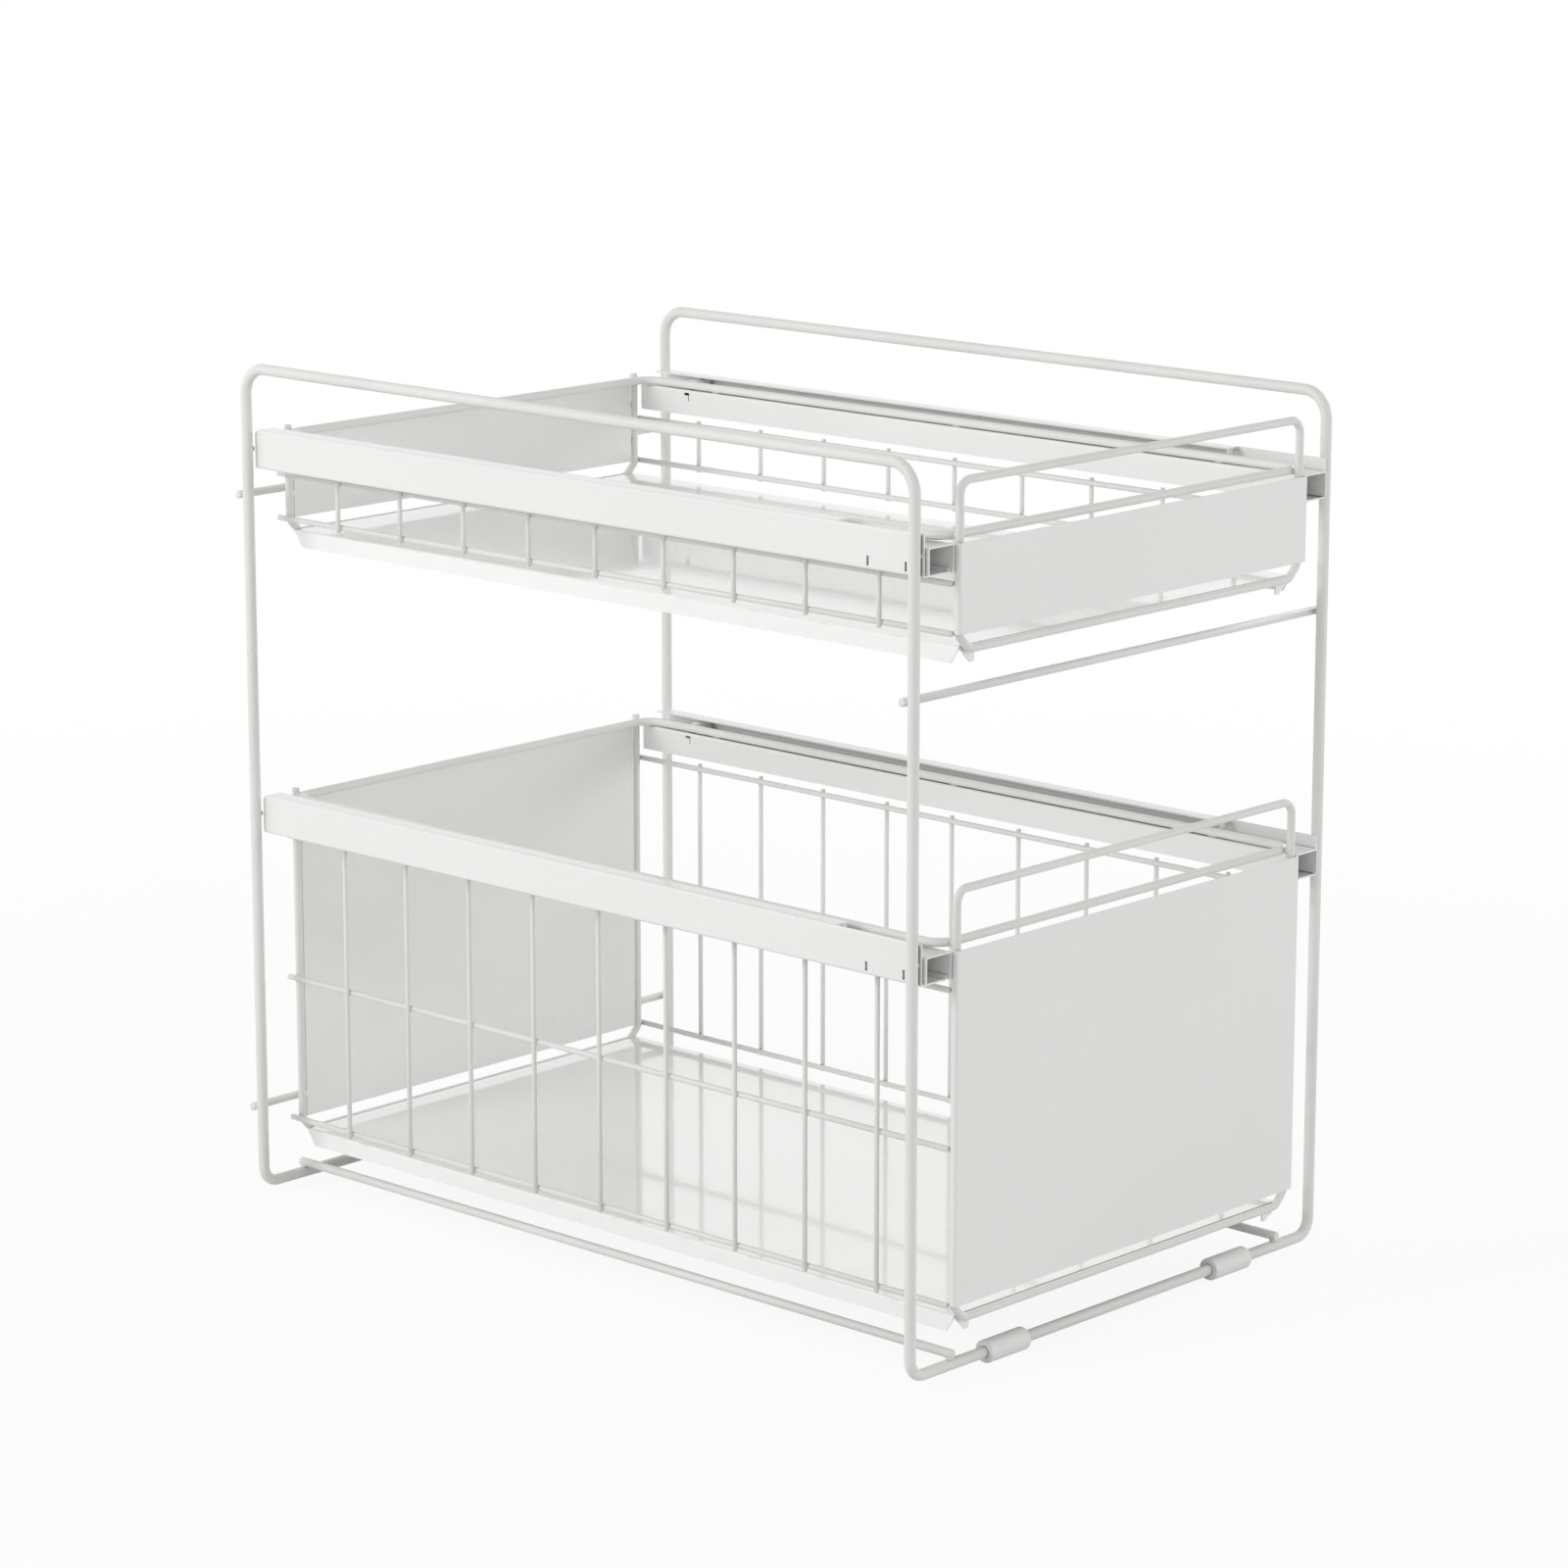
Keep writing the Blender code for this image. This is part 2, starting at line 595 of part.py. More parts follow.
def make_tray(owner, tier, run_z):
    """The floor sheet: a flange down each side with its ends cut off, a slanted tab down at each corner."""
    name = f"{tier}_tray"
    top_z = run_z + TRAY_TOP_RISE
    middle_z = top_z - SHEET / 2
    low_z = top_z - TRAY_FLANGE
    flange_x = TRAY_X - SHEET / 2
    tab_top_x = TRAY_TAB_X + TRAY_TAB_TIP + middle_z - low_z
    fold = [tuple(point) for point in rounded(
        [(-flange_x, low_z), (-flange_x, middle_z), (flange_x, middle_z), (flange_x, low_z)], FOLD_RADIUS)]
    tray = folded_sheet(owner, name, fold, (TRAY_FRONT_Y, TRAY_REAR_Y), along_y)
    for end_name, end, end_y, cut in (
            ("front", -1, TRAY_FRONT_Y, TRAY_FRONT_CUT), ("rear", 1, TRAY_REAR_Y, TRAY_REAR_CUT)):
        lead = end * OVERRUN * cut / TRAY_CUT_HEIGHT
        outline = [
            (end_y - end * cut - lead, low_z - OVERRUN),
            (end_y + end * OVERRUN + lead, low_z - OVERRUN),
            (end_y + end * OVERRUN + lead, low_z + TRAY_CUT_HEIGHT + OVERRUN),
            (end_y + lead, low_z + TRAY_CUT_HEIGHT + OVERRUN)]
        for side_name, side in SIDES:
            tag = f"{name}_{end_name}_{side_name}"
            reach = sorted((side * (TRAY_X - SHEET - GAP), side * (TRAY_X + OVERRUN)))
            bevel = owner.tool(f"{tag}_bevel", prism_mesh(f"{tag}_bevel", outline, reach, along_x))
            combine(tray, bevel, "DIFFERENCE")
            tab_outline = [
                (side * TRAY_TAB_X, low_z), (side * (TRAY_TAB_X + TRAY_TAB_TIP), low_z),
                (side * tab_top_x, middle_z), (side * TRAY_TAB_X, middle_z)]
            tab = owner.tool(f"{tag}_tab", prism_mesh(
                f"{tag}_tab", tab_outline, sorted((end_y, end_y - end * SHEET)), along_y))
            combine(tray, tab, "UNION")


def make_frame(owner):
    for side_name, side in SIDES:
        make_side_frame(owner, side_name, side)
        make_base_wire(owner, side_name, side)
        make_rail(owner, "lower", side_name, side, LOWER_RAIL_Z)
        make_rail(owner, "upper", side_name, side, UPPER_RAIL_Z)
    for end_name, end, foot_x in ENDS:
        make_bottom_bar(owner, end_name, end, foot_x)
        for side_name, side in SIDES:
            make_foot(owner, f"{end_name}_{side_name}_foot", side * foot_x, end * HALF_DEPTH)
    make_cross_bar(owner, "front_cross_bar", -HALF_DEPTH + CROSS_BAR_OFFSET, FRONT_BAR_Z)
    make_cross_bar(owner, "lower_rear_cross_bar", HALF_DEPTH + CROSS_BAR_OFFSET, LOWER_REAR_BAR_Z)
    make_cross_bar(owner, "upper_rear_cross_bar", HALF_DEPTH + CROSS_BAR_OFFSET, UPPER_REAR_BAR_Z)


def make_basket(owner, tier, depth, rows):
    run_z = RIM_Z - depth
    make_rim(owner, tier)
    make_front_hoop(owner, tier, run_z)
    make_rear_hoop(owner, tier, run_z)
    make_front_panel(owner, tier, run_z)
    make_rear_panel(owner, tier, run_z)
    make_tray(owner, tier, run_z)
    for side_name, side in SIDES:
        make_grid(owner, tier, side_name, side, run_z, rows)
        make_runner(owner, tier, side_name, side)


clear_scene()
parts = new_collection("pull_out_basket")
cutters = new_collection("cutters")
coats = (rod_coat(), sheet_coat(), foot_plastic())
make_frame(Body(empty("frame", (0, 0, BOTTOM_ROD_Z)), parts, cutters, coats))
lower_slide = empty("lower_basket_slide", (0, 0, BOTTOM_ROD_Z + LOWER_RAIL_Z))
upper_slide = empty("upper_basket_slide", (0, 0, BOTTOM_ROD_Z + UPPER_RAIL_Z))
make_basket(Body(lower_slide, parts, cutters, coats), "lower", LOWER_BASKET_DEPTH, LOWER_ROW_COUNT)
make_basket(Body(upper_slide, parts, cutters, coats), "upper", UPPER_BASKET_DEPTH, UPPER_ROW_COUNT)
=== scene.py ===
"""Two-tier pull-out basket in white powder-coated rod and sheet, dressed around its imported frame.

Metres, +Z up, the front towards -Y. The sections follow the rack as it is put together.
"""
import math

import bmesh
import bpy
from mathutils import Matrix, Vector, noise


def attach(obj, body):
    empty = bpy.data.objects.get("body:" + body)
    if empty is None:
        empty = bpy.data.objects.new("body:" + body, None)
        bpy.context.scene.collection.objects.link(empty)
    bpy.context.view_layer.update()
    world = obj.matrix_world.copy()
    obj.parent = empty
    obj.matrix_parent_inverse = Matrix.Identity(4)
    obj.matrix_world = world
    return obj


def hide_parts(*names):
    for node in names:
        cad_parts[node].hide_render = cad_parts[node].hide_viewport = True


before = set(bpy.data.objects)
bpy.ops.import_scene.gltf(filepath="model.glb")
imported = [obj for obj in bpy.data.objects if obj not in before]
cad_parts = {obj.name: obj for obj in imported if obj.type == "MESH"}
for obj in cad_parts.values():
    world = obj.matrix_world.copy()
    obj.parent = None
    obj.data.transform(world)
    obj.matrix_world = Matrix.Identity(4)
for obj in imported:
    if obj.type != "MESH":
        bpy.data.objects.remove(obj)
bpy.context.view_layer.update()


# Side frames: each side of the rack is one 5 mm steel rod, bent cold into a hoop that runs from
# the front foot up, back along the top and down to the rear foot. Straight lengths of the same
# rod join the two hoops along the floor. All rods carry a satin white powder coat.
GAP = 0.0003
ROD_Z = 0.0047
FRAME_ROD = 0.005
HALF_WIDTH = 0.135
HALF_DEPTH = 0.20115
FRAME_HEIGHT = 0.3827
FRAME_TOP = ROD_Z + FRAME_HEIGHT
FRAME_SIDES = 32
TOP_BEND = 0.012
BOTTOM_BEND = 0.008
FOOT_X = {"front": 0.0756, "rear": 0.055}
BEND_STEP = math.radians(6)
BEND_STEPS_LEAST = 3
SIDES = (("left", -1), ("right", 1))
ENDS = (("front", -1), ("rear", 1))

ROD_TONES = ((0.79, 0.788, 0.765, 1.0), (0.76, 0.757, 0.73, 1.0))
ROD_PATCH_FADE = (0.35, 0.7)
ROD_ROUGHNESS = 0.36
ROD_PATCH_SWING = 0.08
GRAIN_SWING = 0.05
ROD_GRAIN_HEIGHT = 0.3
ROD_SKIN = {"depth": 0.00005, "strength": 0.3}
# Painted shade in narrow gaps: its dark tone, how far the gap test reaches and how it fades in.
CREVICE_SHADE_TONE = (0.16, 0.155, 0.15, 1.0)
CREVICE_SHADE_REACH = 0.0016
CREVICE_SHADE_FADE = (0.4, 0.95)

TIP_SHARE = 0.35
TIP_TURNS = tuple(math.radians(turn) for turn in (90, 62, 32, 0))
POINT_SHARE = 0.01
WELD_SEGMENTS = (14, 9)
WELD_UNEVEN = 0.12
WELD_RIPPLE = 1.7
WELD_SPREAD = 400


class Sock:
    """An output socket, for shader maths written as plain expressions."""

    def __init__(self, nodes, socket):
        self.nodes = nodes
        self.socket = socket

    def math(self, operation, first, second=0.0):
        return self.nodes.node("ShaderNodeMath", {"operation": operation}, {0: first, 1: second})

    def __add__(self, other):
        return self.math("ADD", self, other)

    def __sub__(self, other):
        return self.math("SUBTRACT", self, other)

    def __rsub__(self, other):
        return self.math("SUBTRACT", other, self)

    def __mul__(self, other):
        return self.math("MULTIPLY", self, other)

    __radd__ = __add__
    __rmul__ = __mul__

    def magnitude(self):
        return self.math("ABSOLUTE", self)

    def step(self, low, high):
        """0 below low, 1 above high, with a smooth rise between."""
        return self.nodes.node(
            "ShaderNodeMapRange", {"interpolation_type": "SMOOTHSTEP"},
            {"Value": self, "From Min": low, "From Max": high})


class Nodes:
    """The nodes of a finish, the floor or the world; node() adds any node and gives its output."""

    def __init__(self, tree):
        self.tree = tree

    def node(self, kind, settings=(), sockets=(), output=0):
        made = self.tree.nodes.new(kind)
        for key, value in dict(settings).items():
            setattr(made, key, value)
        for key, value in dict(sockets).items():
            if isinstance(value, Sock):
                self.tree.links.new(value.socket, made.inputs[key])
            else:
                made.inputs[key].default_value = value
        return Sock(self, made.outputs[output])


class Finish(Nodes):
    """A surface finish: even values are set at once, what varies is fed in at the end."""

    def __init__(self, name, **fixed):
        self.material = bpy.data.materials.new(name)
        self.material.use_nodes = True
        super().__init__(self.material.node_tree)
        self.shader = self.tree.nodes["Principled BSDF"]
        for socket, value in fixed.items():
            self.shader.inputs[socket.replace("_", " ")].default_value = value

    def place(self):
        """The point on the rack, in metres."""
        return self.node("ShaderNodeTexCoord", output="Object")

    def noise(self, scale, detail=2.0, roughness=0.5):
        return self.node("ShaderNodeTexNoise", {"noise_dimensions": "3D"}, {
            "Vector": self.place(), "Scale": scale, "Detail": detail, "Roughness": roughness})

    def crevice_shade(self, tone):
        """Painted shade: the colour is darkened toward a near-black tone in narrow gaps and
        crevices, where shade falls.
        """
        openness = self.node(
            "ShaderNodeAmbientOcclusion", {"samples": 6}, {"Distance": CREVICE_SHADE_REACH}, "AO")
        return self.mix((1 - openness).step(*CREVICE_SHADE_FADE), tone, CREVICE_SHADE_TONE)

    def axis(self, letter):
        return self.node("ShaderNodeSeparateXYZ", (), {0: self.place()}, letter)

    def mix(self, factor, first, second):
        return self.node(
            "ShaderNodeMix", {"data_type": "RGBA"}, {0: factor, 6: first, 7: second}, 2)

    def bump(self, height, depth, strength):
        return self.node("ShaderNodeBump", (), {
            "Strength": strength, "Distance": depth, "Height": height})

    def feed(self, **links):
        for socket, value in links.items():
            self.tree.links.new(value.socket, self.shader.inputs[socket.replace("_", " ")])
        return self


def rod_coat():
    """Powder coat on round wire: a faint orange-peel skin, a little greyer in patches, with painted
    shade in narrow gaps.
    """
    coat = Finish("rod_powder_coat", Metallic=0.0, IOR=1.5, Specular_IOR_Level=0.35)
    patches = coat.noise(scale=22.0, detail=3.0)
    grain = coat.noise(scale=2600.0, detail=1.0)
    peel = coat.noise(scale=900.0, detail=2.0, roughness=0.45)
    tone = coat.mix(patches.step(*ROD_PATCH_FADE), *ROD_TONES)
    return coat.feed(
        # The base colour carries painted shade in narrow gaps.
        Base_Color=coat.crevice_shade(tone),
        Roughness=ROD_ROUGHNESS + patches * ROD_PATCH_SWING + grain * GRAIN_SWING,
        Normal=coat.bump(peel + grain * ROD_GRAIN_HEIGHT, **ROD_SKIN))


ROD_FINISH = rod_coat().material


def bent(corners, radii):
    """The points of a rod through these corners, each turned with its own bend radius."""
    corners = [Vector(corner) for corner in corners]
    count = len(corners)
    points = []
    for index, (corner, radius) in enumerate(zip(corners, radii)):
        if not radius:
            points.append(corner)
            continue
        back = (corners[index - 1] - corner).normalized()
        ahead = (corners[(index + 1) % count] - corner).normalized()
        half = back.angle(ahead) / 2
        outward = -(back + ahead).normalized()
        along = (ahead - back).normalized()
        centre = corner - outward * radius / math.sin(half)
        sweep = math.pi / 2 - half
        steps = max(BEND_STEPS_LEAST, math.ceil(2 * sweep / BEND_STEP))
        for step in range(steps + 1):
            angle = sweep * (2 * step / steps - 1)
            points.append(centre + radius * (outward * math.cos(angle) + along * math.sin(angle)))
    return points


def add_wire(body, points, diameter, closed=False, sides=24, tip_share=TIP_SHARE):
    """Skins a path with round wire; open ends are cut and softened by their coat."""
    radius = diameter / 2
    rise = radius * tip_share
    points = [Vector(point) for point in points]
    count = len(points)
    rings = []
    side = None
    for index, point in enumerate(points):
        ahead = points[(index + 1) % count] if closed or index < count - 1 else point
        back = points[index - 1] if closed or index else point
        along = (ahead - back).normalized()
        side = along.orthogonal() if side is None else side
        side = (side - along * side.dot(along)).normalized()
        rings.append((point, along, side, along.cross(side), radius))
    if not closed:
        first, last = rings[0], rings[-1]
        head = [
            (first[0] + first[1] * rise * (1 - math.sin(turn)), *first[1:4],
             radius * math.cos(turn)) for turn in TIP_TURNS]
        tail = [
            (last[0] - last[1] * rise * (1 - math.sin(turn)), *last[1:4],
             radius * math.cos(turn)) for turn in reversed(TIP_TURNS)]
        rings = head + rings[1:-1] + tail
    loops = []
    for centre, along, side, up, size in rings:
        if size < radius * POINT_SHARE:
            loops.append([body.verts.new(centre)] * sides)
            continue
        loops.append([
            body.verts.new(centre + size * (side * math.cos(turn) + up * math.sin(turn)))
            for turn in (math.tau * step / sides for step in range(sides))])
    pairs = list(zip(loops, loops[1:] + loops[:1])) if closed else list(zip(loops, loops[1:]))
    for low, high in pairs:
        for step in range(sides):
            after = (step + 1) % sides
            corners = [low[step], low[after], high[after], high[step]]
            face = body.faces.new(list(dict.fromkeys(corners)))
            face.smooth = True


def add_weld(body, place, reach):
    """A resistance weld's soft fillet between two wires: a low, slightly uneven lens."""
    across, down = WELD_SEGMENTS
    made = bmesh.ops.create_uvsphere(body, u_segments=across, v_segments=down, radius=1.0)
    for vert in made["verts"]:
        swell = 1 + WELD_UNEVEN * noise.noise(vert.co * WELD_RIPPLE + Vector(place) * WELD_SPREAD)
        vert.co = Vector(place) + Vector(part * size * swell for part, size in zip(vert.co, reach))
    for face in {face for vert in made["verts"] for face in vert.link_faces}:
        face.smooth = True


def make_piece(name, build, finish, body_name, replaced=()):
    """Builds one mesh piece and dresses it."""
    mesh = bpy.data.meshes.new(name)
    body = bmesh.new()
    build(body)
    bmesh.ops.recalc_face_normals(body, faces=body.faces)
    body.to_mesh(mesh)
    body.free()
    dress(bpy.data.objects.new(name, mesh), finish, body_name, replaced)


def dress(piece, finish, body_name, replaced=()):
    """Coats a piece, lets it ride on its body and hides the plain parts that it stands for."""
    if piece.name not in bpy.context.scene.collection.objects:
        bpy.context.scene.collection.objects.link(piece)
    piece.data.materials.clear()
    piece.data.materials.append(finish)
    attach(piece, body_name)
    if replaced:
        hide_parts(*replaced)


for side_name, side in SIDES:
    front_x = side * (FOOT_X["front"] + GAP / 2)
    rear_x = side * (FOOT_X["rear"] + GAP / 2)
    far_x = side * HALF_WIDTH
    frame_path = bent(
        [(front_x, -HALF_DEPTH, ROD_Z), (far_x, -HALF_DEPTH, ROD_Z),
         (far_x, -HALF_DEPTH, FRAME_TOP), (far_x, HALF_DEPTH, FRAME_TOP),
         (far_x, HALF_DEPTH, ROD_Z), (rear_x, HALF_DEPTH, ROD_Z)],
        [0, BOTTOM_BEND, TOP_BEND, TOP_BEND, BOTTOM_BEND, 0])
    make_piece(
        f"{side_name}_frame_rod",
        lambda body: add_wire(body, frame_path, FRAME_ROD, sides=FRAME_SIDES),
        ROD_FINISH, "frame", [f"{side_name}_side_frame"])

for end_name, end in ENDS:
    reach = FOOT_X[end_name] - GAP / 2
    bar_path = [(-reach, end * HALF_DEPTH, ROD_Z), (reach, end * HALF_DEPTH, ROD_Z)]
    make_piece(
        f"{end_name}_floor_rod",
        lambda body: add_wire(body, bar_path, FRAME_ROD, sides=FRAME_SIDES),
        ROD_FINISH, "frame", [f"{end_name}_bottom_bar"])


# Foot sleeves: moulded in soft grey-white plastic and pushed over each joint of the floor rods.
# They hide the joint, are eased at both ends and stand on a narrow flat. A faint parting line
# runs along both flanks.
FOOT_RADIUS = 0.005
FOOT_PLAY = 0.00004
FOOT_BORE = FRAME_ROD / 2 + FOOT_PLAY
FOOT_LENGTH = 0.025
FOOT_END = 0.0006
FOOT_MOUTH = 0.0002
FOOT_LINING = 3 * FOOT_MOUTH
FOOT_STEPS = 64
FOOT_TONES = ((0.86, 0.857, 0.84, 1.0), (0.83, 0.827, 0.81, 1.0))
FOOT_CLOUD_FADE = (0.3, 0.75)
FOOT_ROUGHNESS = 0.5
FOOT_GRAIN_SWING = 0.12
FOOT_GRAIN_HEIGHT = 0.5
FOOT_SKIN = {"depth": 0.00006, "strength": 0.5}
PARTING_FADE = (0.00012, 0.0003)


def foot_plastic():
    """Matt moulded plastic: fine spark-eroded grain and a faint line where the mould parts."""
    skin = Finish("foot_plastic", Metallic=0.0, IOR=1.46)
    grain = skin.noise(scale=5200.0, detail=2.0)
    cloud = skin.noise(scale=60.0, detail=2.0)
    line = 1 - (skin.axis("Z") - ROD_Z).magnitude().step(*PARTING_FADE)
    return skin.feed(
        Base_Color=skin.mix(cloud.step(*FOOT_CLOUD_FADE), *FOOT_TONES),
        Roughness=FOOT_ROUGHNESS + grain * FOOT_GRAIN_SWING,
        Normal=skin.bump(grain * FOOT_GRAIN_HEIGHT + line, **FOOT_SKIN))


FOOT_FINISH = foot_plastic().material


def foot_profile():
    """The sleeve's section, from inside one mouth, round the outside and into the other."""
    half = FOOT_LENGTH / 2
    corners = [
        (-half + FOOT_LINING, FOOT_BORE, 0), (-half, FOOT_BORE, 0), (-half, FOOT_RADIUS, 0),
        (half, FOOT_RADIUS, 0), (half, FOOT_BORE, 0), (half - FOOT_LINING, FOOT_BORE, 0)]
    return bent(corners, [0, FOOT_MOUTH, FOOT_END, FOOT_END, FOOT_MOUTH, 0])


def add_foot(body, x, y):
    """Turns the section round the rod and presses it flat where it stands on the floor."""
    rings = []
    for along, out, _ in foot_profile():
        ring = []
        for step in range(FOOT_STEPS):
            turn = math.tau * step / FOOT_STEPS
            z = max(out * math.sin(turn), -ROD_Z)
            ring.append(body.verts.new((x + along, y + out * math.cos(turn), ROD_Z + z)))
        rings.append(ring)
    for low, high in zip(rings, rings[1:] + rings[:1]):
        for step in range(FOOT_STEPS):
            after = (step + 1) % FOOT_STEPS
            body.faces.new([low[step], low[after], high[after], high[step]]).smooth = True


for end_name, end in ENDS:
    for side_name, side in SIDES:
        make_piece(
            f"{end_name}_{side_name}_sleeve",
            lambda body: add_foot(body, side * FOOT_X[end_name], end * HALF_DEPTH),
            FOOT_FINISH, "frame", [f"{end_name}_{side_name}_foot"])


# Cross bars and base wires: thinner rods laid across the side frames and welded where they
# touch. One ties the front uprights between the tiers, two tie the rear ones from behind, and
# two lie front to rear on the floor rods.
CROSS_BAR = 0.0036
CROSS_REACH = HALF_WIDTH + FRAME_ROD / 2
CROSS_OFFSET = FRAME_ROD / 2 + GAP + CROSS_BAR / 2
CROSS_BARS = (
    {"name": "front_cross_bar", "rod": -HALF_DEPTH, "height": 0.2855},
    {"name": "lower_rear_cross_bar", "rod": HALF_DEPTH, "height": 0.0365},
    {"name": "upper_rear_cross_bar", "rod": HALF_DEPTH, "height": 0.3244})
BASE_WIRE = 0.004
BASE_WIRE_X = 0.110
BASE_WIRE_TIP = 0.0018
BASE_WIRE_REACH = HALF_DEPTH + BASE_WIRE_TIP
BASE_WIRE_Z = ROD_Z + FRAME_ROD / 2 + GAP + BASE_WIRE / 2
BAR_TIP_SHARE = 0.2
BAR_WELD = (0.0019, 0.0009, 0.001615)
BASE_WELD = (0.0019, 0.0019, 0.0009)

for bar in CROSS_BARS:
    y = bar["rod"] + CROSS_OFFSET
    z = ROD_Z + bar["height"]

    def cross_bar(body):
        ends = [(-CROSS_REACH, y, z), (CROSS_REACH, y, z)]
        add_wire(body, ends, CROSS_BAR, tip_share=BAR_TIP_SHARE)
        for _, side in SIDES:
            add_weld(body, (side * HALF_WIDTH, y - CROSS_BAR / 2, z), BAR_WELD)

    make_piece(
        f"{bar['name']}_rod", cross_bar, ROD_FINISH, "frame", [bar["name"]])

for side_name, side in SIDES:
    def base_wire(body):
        x = side * BASE_WIRE_X
        ends = [(x, -BASE_WIRE_REACH, BASE_WIRE_Z), (x, BASE_WIRE_REACH, BASE_WIRE_Z)]
        add_wire(body, ends, BASE_WIRE, tip_share=BAR_TIP_SHARE)
        for _, end in ENDS:
            add_weld(body, (x, end * HALF_DEPTH, BASE_WIRE_Z - BASE_WIRE / 2), BASE_WELD)

    make_piece(
        f"{side_name}_base_rod", base_wire, ROD_FINISH, "frame",
        [f"{side_name}_base_wire"])


# Rails: 0.8 mm sheet folded into a channel and spot-welded inside the uprights. The shelf ends
# in a lip that the runner rides over, and the top flange is cut back behind the mouth, where a
# small tooth is turned down to stop the basket. Two narrow slots are punched near the front.
SHEET = 0.0008
FOLD = 0.0009
EASED = 0.00014
CUT = 0.002
EASED_SEGMENTS = 2
EASED_ANGLE = math.radians(40)
FLAT_WEIGHT = 80
RAIL_RISE = {"lower": 0.1675, "upper": 0.3365}
RAIL_Z = {tier: ROD_Z + rise for tier, rise in RAIL_RISE.items()}
RAIL_HEIGHT = 0.018
RAIL_SHELF = 0.016
RAIL_FLANGE = 0.008
RAIL_WEB_X = HALF_WIDTH - FRAME_ROD / 2 - GAP
RAIL_LIP_X = RAIL_WEB_X - RAIL_SHELF
RAIL_LIP = 0.0022
RAIL_FLANGE_X = RAIL_WEB_X - RAIL_FLANGE
RAIL_REAR_GAP = 0.0022
RAIL_MOUTH = 0.0477
RAIL_FRONT_Y = -HALF_DEPTH - FRAME_ROD / 2
RAIL_REAR_Y = HALF_DEPTH - RAIL_REAR_GAP
RAIL_FLANGE_Y = RAIL_FRONT_Y + RAIL_MOUTH
RAIL_CORNER = 0.003
RAIL_STOP_WIDTH = 0.003
RAIL_STOP_DROP = 0.0032
RAIL_SLOT_WIDTH = 0.0012
RAIL_SLOT_HEIGHT = 0.004
RAIL_SLOT_RISE = 2 * SHEET
RAIL_SLOT_PLACES = (0.0097, 0.0303)
RAIL_WELD = (0.00072, 0.00171, 0.00133)
SHEET_TONES = ((0.85, 0.85, 0.84, 1.0), (0.83, 0.83, 0.815, 1.0))
SHEET_CLOUD_FADE = (0.3, 0.75)
SHEET_ROUGHNESS = 0.22
SHEET_CLOUD_SWING = 0.07
SHEET_GRAIN_HEIGHT = 0.2
SHEET_SKIN = {"depth": 0.00006, "strength": 0.15}
STREAK_FADE = (0.42, 0.62)
STREAK_LEAST = 0.35
WORN_TONE = (0.66, 0.66, 0.65, 1.0)
WORN_SHARE = 0.25
WORN_SMOOTHING = 0.08
RUB_WIDTH = 0.004
RUBBED_GLOSS = {"Coat_Weight": 0.8, "Coat_Roughness": 0.12}


def sheet_coat(name, rubbed=None, roughness=SHEET_ROUGHNESS, tones=SHEET_TONES, **gloss):
    """The same coat on sheet, with a wider orange peel; rubbed places are smoother and greyer, and
    narrow gaps carry painted shade.
    """
    coat = Finish(name, Metallic=0.0, **gloss)
    clouds = coat.noise(scale=9.0, detail=3.0)
    grain = coat.noise(scale=2400.0, detail=1.0)
    peel = coat.noise(scale=420.0, detail=2.0, roughness=0.4)
    tone = coat.mix(clouds.step(*SHEET_CLOUD_FADE), *tones)
    roughness = roughness + clouds * SHEET_CLOUD_SWING + grain * GRAIN_SWING
    if rubbed:
        streaks = coat.noise(scale=240.0, detail=3.0).step(*STREAK_FADE)
        wear = rubbed(coat) * (STREAK_LEAST + streaks * (1 - STREAK_LEAST))
        tone = coat.mix(wear * WORN_SHARE, tone, WORN_TONE)
        roughness = roughness - wear * WORN_SMOOTHING
    return coat.feed(
        # The base colour carries painted shade in narrow gaps.
        Base_Color=coat.crevice_shade(tone), Roughness=roughness,
        Normal=coat.bump(peel + grain * SHEET_GRAIN_HEIGHT, **SHEET_SKIN))


def box_tool(low, high):
    """A cutter or a joined block between two corners."""
    mesh = bpy.data.meshes.new("tool")
    body = bmesh.new()
    low, high = Vector(low), Vector(high)
    place = Matrix.Translation((low + high) / 2) @ Matrix.Diagonal((*(high - low), 1.0))
    bmesh.ops.create_cube(body, size=1.0, matrix=place)
    body.to_mesh(mesh)
    body.free()
    return mesh


def side_box(side, inner_x, outer_x, ys, zs):
    """A box on one side of the rack, given by its distances from the middle."""
    xs = sorted((side * inner_x, side * outer_x))
    return box_tool(*zip(xs, sorted(ys), sorted(zs)))


def prism_tool(outline, reach, place):
    """A flat outline pushed through a thickness; place(u, v, w) sets it in the rack."""
    near, far = sorted(reach)
    mesh = bpy.data.meshes.new("tool")
    body = bmesh.new()
    base = body.faces.new([body.verts.new(place(u, v, near)) for u, v in outline])
    grown = bmesh.ops.extrude_face_region(body, geom=[base])
    moved = [item for item in grown["geom"] if isinstance(item, bmesh.types.BMVert)]
    through = Vector(place(0, 0, far)) - Vector(place(0, 0, near))
    bmesh.ops.translate(body, verts=moved, vec=through)
    bmesh.ops.recalc_face_normals(body, faces=body.faces)
    body.to_mesh(mesh)
    body.free()
    return mesh


